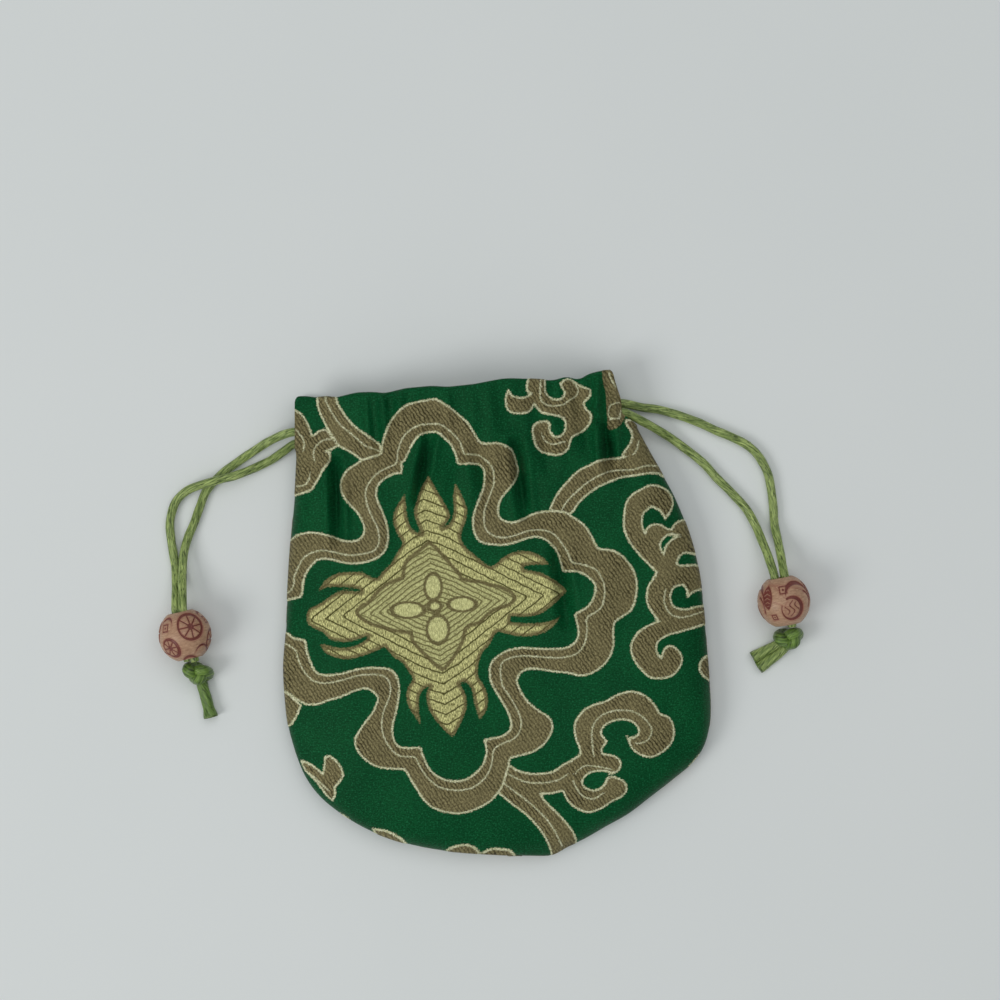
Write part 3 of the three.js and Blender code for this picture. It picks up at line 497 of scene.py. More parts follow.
# The gold medallion in the middle, with a diamond and four petals in it
MEDALLION = (
    (429, 475.3), (434.9, 487.1), (443.7, 501.8), (449.6, 513.5), (448.1, 520.8), (442.2, 527.5),
    (449.6, 523.8), (454, 512), (453.2, 497.4), (455.4, 482.7), (462.8, 497.4), (467.2, 509.1),
    (465.7, 520.8), (461.3, 532.6), (461.3, 539.9), (467.2, 548.7), (476, 556), (484.8, 563.4),
    (492.1, 566.3), (498, 561.9), (505, 556), (514.9, 551.9), (528.1, 551.2), (541.3, 556.3),
    (550.1, 565.1), (538.4, 564.5), (523.7, 565.5), (523.7, 569.5), (539.9, 572.4), (551.6, 578.3),
    (563.3, 587.1), (566.8, 592), (552.5, 605), (540, 613.9), (523.9, 616.6), (510.5, 615.7), (510, 622),
    (530, 623.5), (550.7, 621), (559.6, 615.7), (556.1, 622.9), (545.4, 631.8), (529.3, 636.3),
    (513.2, 635.4), (500.7, 631.8), (495.4, 633.1), (490.3, 643.4), (481.6, 653.7), (478.2, 665.8),
    (478.2, 676.1), (484.2, 686.4), (487.7, 696.8), (486.8, 708.8), (479.9, 720), (476.5, 710.5),
    (473.9, 700.2), (471.3, 688.2), (464.4, 681.3), (459, 683.5), (463.6, 689.9), (467, 701.9),
    (465.3, 712.3), (459.3, 726), (453.2, 737.2), (445.5, 731.2), (435.1, 719.2), (428.3, 707.1),
    (426.5, 693.3), (430.5, 686), (424.8, 688.2), (419.7, 695), (418.8, 707.1), (419.7, 717.4),
    (422.2, 726.9), (417.9, 720.9), (411, 710.5), (406.7, 700.2), (407.6, 688.2), (412.8, 679.5),
    (409.3, 672.7), (402.4, 662.3), (393.8, 657.2), (385.2, 646.8), (376.6, 650.3), (364.5, 655.4),
    (349, 658.9), (335.3, 657.2), (324.9, 652), (319.8, 643.4), (326.7, 645.1), (340.4, 647.7),
    (354.2, 646), (366, 640), (368, 635.5), (355.9, 639.9), (343.9, 641.7), (330.1, 639.1), (323.2, 632.2),
    (309.4, 625.3), (306.9, 617.6), (309.4, 608.9), (319, 604.4), (329.3, 597.1), (339.5, 591.2),
    (351.3, 591.2), (361.6, 592.7), (357.1, 588.3), (342, 587), (327.8, 587), (318.3, 591.2), (324.9, 581),
    (336.6, 573.6), (349.8, 572.2), (361.6, 572.2), (370.4, 576.6), (377.7, 578), (383.6, 570.7),
    (390.9, 563.4), (396.8, 553.1), (402.6, 542.8), (396.8, 533.5), (393.1, 520.8), (395.3, 509.1),
    (404.8, 493.7), (406.3, 507.6), (407.8, 519.4), (412.9, 529.6), (421.7, 534), (417.3, 523.8),
    (414.4, 513.5), (415.8, 503.2), (421.7, 487.1),
)
DIAMOND = (
    (428.9, 542.3), (438.6, 550.4), (448.2, 561.7), (459.5, 573.9), (461.1, 578.4), (470.8, 581),
    (480.5, 581.7), (490.1, 584.9), (499.8, 586.8), (511.1, 592.3), (515.3, 597.8), (511.1, 603.6),
    (503, 606.8), (493.4, 610), (485.3, 616.5), (478.9, 622.9), (467.6, 626.1), (464.4, 632.6),
    (462.7, 640.6), (457.9, 650.3), (451.5, 660), (443.4, 669.6), (435.4, 664.8), (427.3, 656.7),
    (419.2, 648.7), (412.8, 640.6), (411.2, 632.6), (396.7, 631), (383.8, 627.7), (369.3, 622.9),
    (359.6, 616.5), (356.4, 611.6), (361.2, 606.2), (369.3, 602), (377.3, 592.3), (387, 584.2),
    (398.3, 579.4), (403.1, 577.8), (404.7, 564.9), (411.2, 556.8), (420.9, 549.4),
)
PETAL_COLUMNS = ("x", "y", "half_width", "half_height")
PETALS = (
    (433.1, 586.8, 8.5, 13.5),
    (462.1, 604.2, 14.0, 7.2),
    (437.9, 629.4, 11.0, 14.0),
    (408.0, 610.0, 16.5, 7.8),
    (434.9, 606.2, 6.5, 5.0),
)
MEDALLION_CENTRE = (435.0, 607.0)
MEDALLION_TILT = 6.0

# How steep the medallion's lines are beside the upright leaves and along the diamond
LEAF_HALF_WIDTH = 20.0
UPRIGHT_SLOPE = 0.48
DIAMOND_SLOPE = 0.64


def table(columns, rows):
    """The rows of a table as one array for each named column."""
    return {name: np.array([row[i] for row in rows], float) for i, name in enumerate(columns)}


rows = table(ROW_COLUMNS, ROWS)
folds = table(FOLD_COLUMNS, FOLDS)
creases = table(CREASE_COLUMNS, CREASES)
petals = table(PETAL_COLUMNS, PETALS)
LAST_ROW = len(ROWS) - 1


# Small maths


def smoothstep(value, low, high):
    share = np.clip((value - low) / (high - low), 0, 1)
    return share * share * (3 - 2 * share)


def lerp(a, b, share):
    return a + (b - a) * share


def between(column, place):
    """A smooth value between the rows of the body's table, at places that count rows."""
    values = rows[column]
    row = np.minimum(np.floor(place).astype(int), LAST_ROW - 1)
    share = place - row
    before, start, end, after = (values[np.clip(row + step, 0, LAST_ROW)] for step in (-1, 0, 1, 2))
    bend = 2 * before - 5 * start + 4 * end - after
    twist = 3 * (start - end) + after - before
    return start + 0.5 * share * (end - before + share * (bend + share * twist))


def along_curve(points, step):
    """Even points along a smooth centripetal curve through a route's points."""
    route = np.array(points, float)
    spans = np.sqrt(np.linalg.norm(np.diff(route, axis=0), axis=1))
    first = route[0] * 2 - route[1]
    last = route[-1] * 2 - route[-2]
    route = np.vstack([first, route, last])
    spans = np.concatenate([spans[:1], spans, spans[-1:]])
    fine = []
    for i in range(1, len(route) - 2):
        p0, p1, p2, p3 = route[i - 1:i + 3]
        d0, d1, d2 = spans[i - 1:i + 2]
        t1 = ((p1 - p0) / d0 - (p2 - p0) / (d0 + d1) + (p2 - p1) / d1) * d1
        t2 = ((p2 - p1) / d1 - (p3 - p1) / (d1 + d2) + (p3 - p2) / d2) * d1
        share = np.linspace(0, 1, 24, endpoint=False)[:, None]
        bend = -3 * p1 + 3 * p2 - 2 * t1 - t2
        twist = 2 * p1 - 2 * p2 + t1 + t2
        fine.append(p1 + t1 * share + bend * share ** 2 + twist * share ** 3)
    fine = np.vstack([*fine, route[-2:-1]])
    length = np.concatenate([[0], np.cumsum(np.linalg.norm(np.diff(fine, axis=0), axis=1))])
    stops = np.linspace(0, length[-1], max(int(round(length[-1] / step)), 2) + 1)
    return np.stack([np.interp(stops, length, fine[:, axis]) for axis in range(fine.shape[1])], axis=1)


def photo_place(points):
    """Where the camera sees points of the model, in photo pixels."""
    nearness = CAMERA_DISTANCE / (CAMERA_DISTANCE + PHOTO_PLANE - points[..., 2])
    middle_x = (PHOTO_MIDDLE[0] - PHOTO_ORIGIN[0]) * PHOTO_SCALE
    middle_y = (PHOTO_ORIGIN[1] - PHOTO_MIDDLE[1]) * PHOTO_SCALE
    x = PHOTO_MIDDLE[0] + (points[..., 0] - middle_x) * nearness / PHOTO_SCALE
    y = PHOTO_MIDDLE[1] - (points[..., 1] - middle_y) * nearness / PHOTO_SCALE
    return np.stack([x, y], axis=-1)


# Distances to the charted outlines, in photo pixels


# A distance that is past every chart, a length that is too short to count, and how straight a smooth point is
FAR = 1e3
TINY = 1e-9
STRAIGHT = 0.45


def smooth_chart(points, closed, pieces=3):
    """A smooth line through charted points, with the sharp corners kept."""
    chart = np.array(points, float)
    count = len(chart)
    if closed:
        before, after = np.roll(chart, 1, axis=0), np.roll(chart, -1, axis=0)
    else:
        before = np.vstack([chart[:1], chart[:-1]])
        after = np.vstack([chart[1:], chart[-1:]])
    came, goes = chart - before, after - chart
    sizes = np.linalg.norm(came, axis=1) * np.linalg.norm(goes, axis=1) + TINY
    straightness = (came * goes).sum(axis=1) / sizes
    tangent = (after - before) / 2 * (straightness > STRAIGHT)[:, None]
    line = []
    for i in range(count if closed else count - 1):
        j = (i + 1) % count
        for share in np.arange(pieces) / pieces:
            weight = share * share * (3 - 2 * share)
            lead = share * (1 - share) ** 2
            trail = -share * share * (1 - share)
            line.append(lerp(chart[i], chart[j], weight) + tangent[i] * lead + tangent[j] * trail)
    if not closed:
        line.append(chart[-1])
    return np.array(line)


def distance_to_line(places, line, closed):
    """The distance to a line, and on which side of it each place lies."""
    starts = line if closed else line[:-1]
    ends = np.roll(line, -1, axis=0) if closed else line[1:]
    nearest = np.full(len(places), FAR)
    side = np.ones(len(places))
    inside = np.zeros(len(places), bool)
    for start, end in zip(starts, ends):
        along = end - start
        off = places - start
        share = np.clip((off @ along) / max(along @ along, TINY), 0, 1)
        gap = off - share[:, None] * along
        distance = np.hypot(gap[:, 0], gap[:, 1])
        closer = distance < nearest
        cross = along[0] * off[:, 1] - along[1] * off[:, 0]
        side = np.where(closer, np.sign(cross), side)
        nearest = np.where(closer, distance, nearest)
        if closed:
            spans = (start[1] > places[:, 1]) != (end[1] > places[:, 1])
            rise = along[1] if abs(along[1]) > TINY else TINY
            crossing = start[0] + along[0] * (places[:, 1] - start[1]) / rise
            inside ^= spans & (places[:, 0] < crossing)
    if closed:
        side = np.where(inside, -1.0, 1.0)
    return nearest, side


def region_distance(places, chart):
    """The distance to a charted region's edge, under 0 inside it."""
    distance, side = distance_to_line(places, smooth_chart(chart, True), True)
    return distance * side


def ornament(places):
    """Every distance that the brocade's material draws with, for places in photo pixels."""
    frame_band = np.maximum(region_distance(places, FRAME_OUTER), -region_distance(places, FRAME_INNER))
    scrolls = np.full(len(places), FAR)
    for name, chart in SCROLLS.items():
        region = region_distance(places, chart)
        if name == "scroll_right":
            for gap in SCROLL_GAPS:
                region = np.maximum(region, -region_distance(places, gap))
        scrolls = np.minimum(scrolls, region)
    line_near = np.full(len(places), FAR)
    line_side = np.full(len(places), FAR)
    for chart in SCROLL_LINES:
        distance, side = distance_to_line(places, smooth_chart(chart, False), False)
        closer = distance < line_near
        line_near = np.where(closer, distance, line_near)
        line_side = np.where(closer, distance * side, line_side)
    petal = np.full(len(places), FAR)
    for i in range(len(PETALS)):
        dx = (places[:, 0] - petals["x"][i]) / petals["half_width"][i]
        dy = (places[:, 1] - petals["y"][i]) / petals["half_height"][i]
        size = math.sqrt(petals["half_width"][i] * petals["half_height"][i])
        petal = np.minimum(petal, (np.hypot(dx, dy) - 1) * size)
    tilt = math.radians(MEDALLION_TILT)
    off = places - np.array(MEDALLION_CENTRE)
    along = off[:, 0] * math.cos(tilt) - off[:, 1] * math.sin(tilt)
    across = off[:, 0] * math.sin(tilt) + off[:, 1] * math.cos(tilt)
    beside = UPRIGHT_SLOPE * np.minimum(abs(along), LEAF_HALF_WIDTH)
    beside += DIAMOND_SLOPE * np.maximum(abs(along) - LEAF_HALF_WIDTH, 0)
    rings = beside + abs(across)
    return {
        "frame_band": frame_band,
        "scrolls": scrolls,
        "taupe": np.minimum(np.minimum(frame_band, scrolls), region_distance(places, SIDE_FOLD)),
        "middle_line": region_distance(places, FRAME_MIDDLE),
        "line_side": line_side,
        "line_near": line_near,
        "gold": region_distance(places, MEDALLION),
        "diamond": region_distance(places, DIAMOND),
        "petal": petal,
        "rings": rings,
    }


# The cloth's form, by the same formulas as the part's source


def edge(side, place):
    x = between(side, place) * BODY_WIDTH / 2
    y = (between(side + "_up", place) - 0.5) * BODY_HEIGHT
    return np.stack([x, y], axis=-1)


MOUTH_LEFT = edge("left", np.array(0.0))
MOUTH_RIGHT = edge("right", np.array(0.0))
HEM_LEFT = MOUTH_LEFT[0]
HEM_RIGHT = HEM_RIGHT_EDGE * BODY_WIDTH / 2


def hem_lower_edge(x):
    share = (x - MOUTH_LEFT[0]) / (MOUTH_RIGHT[0] - MOUTH_LEFT[0])
    return lerp(MOUTH_LEFT[1], MOUTH_RIGHT[1], share) + PIECE_GAP


def hem_wave(x):
    across = 2 * (x - MOUTH_LEFT[0]) / (MOUTH_RIGHT[0] - MOUTH_LEFT[0]) - 1
    away = (across[..., None] - folds["across"]) / (folds["width"] * HEM_FOLD_SPREAD)
    return -(folds["depth"] * BODY_DEPTH * HEM_FOLD_SHARE * np.exp(-away ** 2)).sum(axis=-1)


def front_hem_base(x):
    from_end = np.minimum(x - HEM_LEFT, HEM_RIGHT - x)
    arch = smoothstep(from_end, SLIT_LENGTH, ARCH_SHARE * (HEM_RIGHT - HEM_LEFT))
    return HEM_THICKNESS + PIECE_GAP + arch * (MOUTH_GAP + hem_wave(x))


def scallop_drop(x):
    share = np.clip((x - HEM_LEFT) / (HEM_RIGHT - HEM_LEFT), 0, 1)
    stops = [np.interp(share + SCALLOP_BLUR * k, SCALLOP_ACROSS, SCALLOP_DROP) for k in (-2, -1, 0, 1, 2)]
    return np.mean(stops, axis=0) * HEM_HEIGHT


def hem_point(side, x, up, depth):
    scallop_start = HEM_HEIGHT * (1 - SCALLOP_REACH)
    drop_share = np.clip((up - scallop_start) / (HEM_HEIGHT - scallop_start), 0, 1)
    y = hem_lower_edge(x) + up - scallop_drop(x) * drop_share
    z = front_hem_base(x) + HEM_THICKNESS - depth if side == "front" else depth + 0 * x
    return np.stack([x + 0 * y, y, z], axis=-1)


def front_height(across, place, x, y):
    rim = SEAM_HEIGHT + PIECE_GAP / 2
    inside = np.clip((1 - np.abs(across) ** between("square", place)) * between("swell", place), 0, 1)
    turn = np.sqrt(1 - (1 - inside) ** 2)
    up = (y / BODY_HEIGHT + 0.5)[..., None]
    away = (across[..., None] - folds["across"]) / folds["width"]
    rise = smoothstep(up, folds["low"], folds["peak"])
    fall = 1 - smoothstep(up, folds["peak"], folds["high"])
    fold = -(folds["depth"] * BODY_DEPTH * rise * fall * np.exp(-away ** 2)).sum(axis=-1)
    loft = between("loft", place) * BODY_DEPTH
    crown = lerp(loft, front_hem_base(x) + HEM_THICKNESS, between("mouth", place))
    return rim + (crown + fold * smoothstep(place, 0, 1) * turn ** 2 - rim) * turn


def back_height(across, place, x, y):
    rim = SEAM_HEIGHT - PIECE_GAP / 2
    turn_share = 0.3
    inside = np.clip((1 - np.abs(across) ** between("square", place)) * between("swell", place), 0, 1)
    level = 1 - np.minimum(inside / turn_share, 1)
    return rim * level ** 2


def panel_places():
    """Places down the body that are about evenly spaced on the cloth."""
    fine = np.linspace(0, LAST_ROW, FINE_ROWS)
    steps = np.zeros(len(fine) - 1)
    for side in ("left", "right"):
        moves = np.abs(np.diff(edge(side, fine), axis=0))
        steps += moves[:, 1] + SIDEWAYS_WEIGHT * moves[:, 0]
    travel = np.concatenate([[0], np.cumsum(steps)])
    return np.interp(np.linspace(travel[-1], 0, PANEL_ROWS + 1), travel, fine)


def hem_section():
    """The cloth's way over the hem, as (up, depth): up its face, over the fold, down behind the tunnel."""
    bend = HEADER_THICKNESS / 2
    turn = np.linspace(-90, 90, 9)
    top = [
        (HEM_HEIGHT - bend + bend * math.cos(math.radians(a)), bend + bend * math.sin(math.radians(a)))
        for a in turn
    ]
    behind = [
        (TUNNEL_TOP + 2 * LAYER_BEND, HEADER_THICKNESS),
        (TUNNEL_TOP + LAYER_BEND, HEADER_THICKNESS + LAYER_LIFT),
        (TUNNEL_TOP, HEM_THICKNESS - LAYER_DENT),
        (TUNNEL_TOP - 1.0, HEM_THICKNESS),
        (TUNNEL_FOOT + 1.0, HEM_THICKNESS),
        (TUNNEL_FOOT, HEM_THICKNESS - LAYER_DENT),
        (TUNNEL_FOOT - LAYER_BEND, HEADER_THICKNESS + LAYER_LIFT),
        (0.0, HEADER_THICKNESS),
    ]
    return along_curve([(0.0, 0.0), (HEM_HEIGHT / 2, 0.0), *top, *behind], HEM_STEP)[1:]


def crease_depth(places):
    """How deep the small creases' valleys are, and how high their shoulders, at places in photo pixels."""
    valleys = np.zeros(places.shape[:-1])
    shoulders = np.zeros(places.shape[:-1])
    for i in range(len(CREASES)):
        start = np.array([creases["x0"][i], creases["y0"][i]])
        along = np.array([creases["x1"][i], creases["y1"][i]]) - start
        off = places - start
        share = (off @ along) / (along @ along)
        held = np.clip(share, 0, 1)
        gap = np.linalg.norm(off - held[..., None] * along, axis=-1) / creases["width"][i]
        taper = VALLEY_END + (1 - VALLEY_END) * np.sin(np.pi * (0.15 + 0.7 * held)) ** 2
        valleys += creases["depth"][i] * taper * np.exp(-gap ** VALLEY_SHARPNESS)
        shoulder = SHOULDER["height"] * np.exp(-((gap - SHOULDER["at"]) / SHOULDER["width"]) ** 2)
        shoulders += creases["depth"][i] * taper * shoulder
    return valleys, shoulders


def soft_ripple(x, y):
    """Low unevenness of the cloth, from a few crossing waves."""
    ripple = np.sin(x / 9.0 + 1.3 * np.sin(y / 17.0)) * np.sin(y / 13.0 + 0.8)
    ripple += 0.6 * np.sin(x / 4.7 - y / 7.9 + 1.7) * np.sin(y / 6.1 + x / 15.0)
    ripple += 0.35 * np.sin(x / 2.3 + y / 9.0) * np.sin(y / 4.2 - x / 11.0 + 0.5)
    return ripple


def cloth_grid(side):
    """The cloth of one side: from the bottom seam up the panel, over the hem's fold and down inside it."""
    across = np.sin(np.linspace(-1, 1, COLUMNS + 1) * EDGE_CROWDING) / math.sin(EDGE_CROWDING)
    places = panel_places()
    height = front_height if side == "front" else back_height
    grid_place, grid_across = np.meshgrid(places, across, indexing="ij")
    share = (grid_across + 1) / 2
    flat = lerp(edge("left", grid_place), edge("right", grid_place), share[..., None])
    z = height(grid_across, grid_place, flat[..., 0], flat[..., 1])
    panel = np.dstack([flat, z])
    mouth = panel[-1]
    section = hem_section()
    travel = np.cumsum(np.linalg.norm(np.diff(np.vstack([[0, 0], section]), axis=0), axis=1))
    hem = []
    for (up, depth), way in zip(section, travel):
        settled = smoothstep(way, 0.0, HEM_SETTLES)
        near_top = min(max(1 - (HEM_HEIGHT - up) / CORNER_REACH, 0), 1)
        corner = CORNER_ROUND * (1 - math.sqrt(1 - near_top ** 2))
        left = HEM_LEFT + corner
        right = HEM_RIGHT - corner - CORNER_CUT * smoothstep(up, CORNER_START, HEM_HEIGHT)
        x = lerp(mouth[:, 0], lerp(left, right, (across + 1) / 2), settled)
        row = hem_point(side, x, up, depth)
        if side == "front":
            row[:, 2] += END_RIDGE["height"] * np.exp(-((x - END_RIDGE["x"]) / END_RIDGE["width"]) ** 2)
        row[:, 2] = lerp(mouth[:, 2], row[:, 2], smoothstep(way, 0.0, HEM_JOINS))
        hem.append(row)
    return np.vstack([panel, np.array(hem)]), len(places)


def mesh_object(name, points, faces, material, smooth=True):
    mesh = bpy.data.meshes.new(name)
    mesh.from_pydata([tuple(point) for point in np.asarray(points) * MM], [], faces)
    mesh.update()
    mesh.shade_smooth() if smooth else mesh.shade_flat()
    piece = bpy.data.objects.new(name, mesh)
    bpy.context.scene.collection.objects.link(piece)
    mesh.materials.append(material)
    return piece


def set_attribute(piece, name, values):
    values = np.asarray(values, np.float32)
    kind, field = ("FLOAT", "value") if values.ndim == 1 else ("FLOAT_VECTOR", "vector")
    attribute = piece.data.attributes.new(name, kind, "POINT")
    attribute.data.foreach_set(field, values.ravel())


def grid_faces(rows_count, columns_count, keep=None, close_columns=False, flip=False):
    """Quads between the points of a grid, listed row by row."""
    faces = []
    last = columns_count if close_columns else columns_count - 1
    for row in range(rows_count - 1):
        for column in range(last):
            if keep is not None and not keep[row, column]:
                continue
            a = row * columns_count + column
            b = row * columns_count + (column + 1) % columns_count
            quad = (a, b, b + columns_count, a + columns_count)
            faces.append(quad[::-1] if flip else quad)
    return faces


def make_cloth(side, material):
    grid, panel_count = cloth_grid(side)
    count_rows, count_columns = grid.shape[:2]
    grid[..., 1] += CENTRE_SHIFT
    seen = photo_place(grid)
    row_number = np.arange(count_rows)[:, None] + np.zeros(count_columns)[None, :]
    outer_rows = panel_count + int((HEM_HEIGHT + 1) / HEM_STEP)
    ripple = soft_ripple(grid[..., 0], grid[..., 1])
    near_edge = smoothstep(np.abs(np.linspace(-1, 1, count_columns)), 1.0, STILL_EDGE)[None, :]
    if side == "front":
        shown = smoothstep(row_number, outer_rows, outer_rows - FOLD_ROWS) * near_edge
        shown = shown * smoothstep(row_number, 0, STILL_ROWS)
        valleys, shoulders = crease_depth(seen)
        # Over the cords in the hem the valleys stay shallow, and the cloth between them puffs up.
        in_hem = smoothstep(row_number, panel_count - 3, panel_count + 3)
        valleys = lerp(valleys, np.minimum(valleys, HEM_CREASE), in_hem)
        shoulders = shoulders * lerp(1, HEM_PUCKER, in_hem)
        grid[..., 2] += shown * (FRONT_RIPPLE * ripple - valleys + shoulders)
    else:
        seen[..., 0] = 2 * PHOTO_ORIGIN[0] - seen[..., 0]
        lifted = smoothstep(row_number, 0, STILL_ROWS) * near_edge
        lifted = lifted * (row_number < outer_rows - FOLD_ROWS // 2)
        grid[..., 2] += BACK_LIFT + lifted * BACK_RIPPLE * (ripple - ripple.min()) / np.ptp(ripple)
    # The inner layer shows the cloth beyond the fold.
    fold_row = outer_rows - 1
    beyond = np.maximum(row_number - fold_row, 0)[..., None]
    seen = np.where(beyond > 0, seen[fold_row][None] - np.array([0, HEM_STEP / PHOTO_SCALE]) * beyond, seen)
    distances = ornament(seen.reshape(-1, 2))
    raised = smoothstep(-np.minimum(distances["taupe"], distances["gold"]), -1.5, 1.5)
    mesh_points = grid.reshape(-1, 3)
    # Behind the hem the cloth is slit near both ends, where the cords turn.
    x_middle = (grid[:-1, :-1, 0] + grid[1:, 1:, 0]) / 2
    from_end = np.minimum(x_middle - HEM_LEFT, HEM_RIGHT - x_middle)
    keep = np.ones((count_rows - 1, count_columns - 1), bool)
    keep[outer_rows + FOLD_ROWS:, :] = from_end[outer_rows + FOLD_ROWS:, :] > SLIT_LENGTH
    faces = grid_faces(count_rows, count_columns, keep, flip=side == "back")
    cloth = mesh_object(f"{side}_cloth", mesh_points, faces, material)
    for name, values in distances.items():
        set_attribute(cloth, name, values)
    flat = np.dstack([seen * PHOTO_SCALE, np.zeros(seen.shape[:2])]).reshape(-1, 3)
    set_attribute(cloth, "flat", flat)
    normals = np.zeros(len(cloth.data.vertices) * 3)
    cloth.data.vertices.foreach_get("normal", normals)
    mesh_points = mesh_points + normals.reshape(-1, 3) * (raised * RELIEF)[:, None]
    cloth.data.vertices.foreach_set("co", (mesh_points * MM).ravel())
    solid = cloth.modifiers.new("thickness", "SOLIDIFY")
    solid.thickness = CLOTH * MM
    solid.offset = -1
    applied = bpy.data.meshes.new_from_object(cloth.evaluated_get(bpy.context.evaluated_depsgraph_get()))
    cloth.modifiers.clear()
    # At the seam's corner the inner face stays within the outer one.
    shell = np.zeros(len(applied.vertices) * 3)
    applied.vertices.foreach_get("co", shell)
    shell = shell.reshape(-1, 3)
    shell[:, 1] = np.maximum(shell[:, 1], mesh_points[:, 1].min() * MM)
    applied.vertices.foreach_set("co", shell.ravel())
    applied.update()
    cloth.data = applied
    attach(cloth, "root")
    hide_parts(f"{side}_panel", f"hem_{side}")
    return cloth


# Materials


class Nodes:
    """A material's node tree, written as formulas."""

    def __init__(self, name):
        self.material = bpy.data.materials.new(name)
        self.material.use_nodes = True
        self.tree = self.material.node_tree
        self.shader = self.tree.nodes["Principled BSDF"]

    def node(self, kind, inputs, **settings):
        made = self.tree.nodes.new(kind)
        for key, value in settings.items():
            setattr(made, key, value)
        for key, value in inputs.items():
            self.put(made.inputs[key], value)
        return made

    def put(self, socket, value):
        if isinstance(value, bpy.types.NodeSocket):
            self.tree.links.new(value, socket)
        else:
            socket.default_value = value

    def maths(self, operation, a, b=0.0):
        return self.node("ShaderNodeMath", {0: a, 1: b}, operation=operation).outputs[0]

    def add(self, a, b):
        return self.maths("ADD", a, b)

    def times(self, a, b):
        return self.maths("MULTIPLY", a, b)

    def under(self, value, limit, softness):
        """1 where a value is under a limit, with a soft edge, and 0 elsewhere."""
        inputs = {"Value": value, "From Min": limit + softness, "From Max": limit - softness}
        return self.node("ShaderNodeMapRange", inputs, interpolation_type="SMOOTHSTEP").outputs[0]

    def spread(self, value, low, high, to_low, to_high):
        inputs = {"Value": value, "From Min": low, "From Max": high, "To Min": to_low, "To Max": to_high}
        return self.node("ShaderNodeMapRange", inputs).outputs[0]

    def mix(self, share, a, b):
        made = self.tree.nodes.new("ShaderNodeMix")
        made.data_type = "RGBA"
        sockets = [s for s in made.inputs if s.enabled]
        self.put(sockets[0], share)
        self.put(sockets[1], a)
        self.put(sockets[2], b)
        return [s for s in made.outputs if s.enabled][0]

    def number(self, name):
        return self.node("ShaderNodeAttribute", {}, attribute_name=name).outputs["Fac"]

    def vector(self, name):
        return self.node("ShaderNodeAttribute", {}, attribute_name=name).outputs["Vector"]

    def stretched(self, vector, scale, turn=0.0):
        inputs = {"Vector": vector, "Scale": scale, "Rotation": (0.0, 0.0, math.radians(turn))}
        return self.node("ShaderNodeMapping", inputs).outputs[0]

    def noise(self, vector, scale, detail=2.0, roughness=0.5):
        inputs = {"Vector": vector, "Scale": scale, "Detail": detail, "Roughness": roughness}
        return self.node("ShaderNodeTexNoise", inputs).outputs["Fac"]

    def wave(self, vector, scale, distortion=0.0, detail_scale=1.0):
        inputs = {"Vector": vector, "Scale": scale, "Distortion": distortion, "Detail Scale": detail_scale}
        return self.node("ShaderNodeTexWave", inputs).outputs["Fac"]

    def bump(self, height, strength, distance):
        inputs = {"Height": height, "Strength": strength, "Distance": distance}
        return self.node("ShaderNodeBump", inputs).outputs[0]

    def finish(self, colour, normal=None, roughness=0.5, **settings):
        self.put(self.shader.inputs["Base Color"], colour)
        self.put(self.shader.inputs["Roughness"], roughness)
        for name, value in settings.items():
            self.shader.inputs[name.replace("_", " ").title().replace("Ior", "IOR")].default_value = value
        if normal is not None:
            self.put(self.shader.inputs["Normal"], normal)
        return self.material


# Colours in 8-bit sRGB, as they look under the photo's light
PALETTE = {
    "ground_dark": (1, 46, 20),
    "ground_light": (9, 80, 42),
    "ground_cloud": (1, 50, 24),
    "ground_fleck": (30, 108, 68),
    "ground_deep": (1, 40, 18),
    "band_dark": (66, 60, 38),
    "band_light": (142, 134, 96),
    "band_float": (46, 42, 24),
    "cream_dark": (140, 142, 92),
    "cream_light": (238, 238, 192),
    "gold_dark": (96, 94, 54),
    "gold_light": (214, 212, 148),
    "gold_line": (58, 56, 20),
    "diamond_dark": (132, 132, 84),
    "diamond_light": (206, 206, 148),
    "diamond_hatch": (84, 78, 44),
    "petal_dark": (120, 120, 70),
    "petal_light": (222, 222, 160),
    "outline_dark": (66, 58, 32),
    "outline_light": (112, 104, 70),
    "cord_dark": (68, 90, 34),
    "cord_light": (164, 182, 110),
    # The cords' gap colours are painted shade between their threads.
    "cord_gap_shade": (36, 50, 16),
    # The knots' colours are a darker copy of the cord's: painted shade on the knots, also used on the left
    # tail.
    "knot_shaded_dark": (54, 80, 28),
    "knot_shaded_light": (116, 146, 66),
    "knot_shaded_gap": (32, 48, 14),
    "melted_dark": (40, 56, 22),
    "melted_light": (96, 120, 52),
    "wood_light": (170, 138, 112),
    "wood_dark": (134, 102, 80),
    "wood_pore": (116, 82, 68),
    "stain_dark": (84, 38, 34),
    "stain_light": (112, 58, 48),
    "stain_edge": (128, 80, 64),
    "floor_dark": (196, 201, 201),
    "floor_light": (200, 204, 204),
}

# How bright a white surface is in this studio
STUDIO_LEVEL = 0.72

# Half the width of the cream lines, and the way from one line of the medallion to the next, in photo pixels
EDGE_LINE = 1.0
INNER_LINE = 0.7
RING_SPACING = 10.3

# Which way the bands' floats and the satin's ribs run, in degrees
FLOAT_TURN = 35.0
RIB_TURN = 62.0


def colour(name):
    """A named colour as the shaders need it: linear, and brighter by what the studio takes away."""
    def linear(value):
        share = value / 255
        return share / 12.92 if share <= 0.04045 else ((share + 0.055) / 1.055) ** 2.4
    return (*(min(linear(value) / STUDIO_LEVEL, 1.0) for value in PALETTE[name]), 1.0)


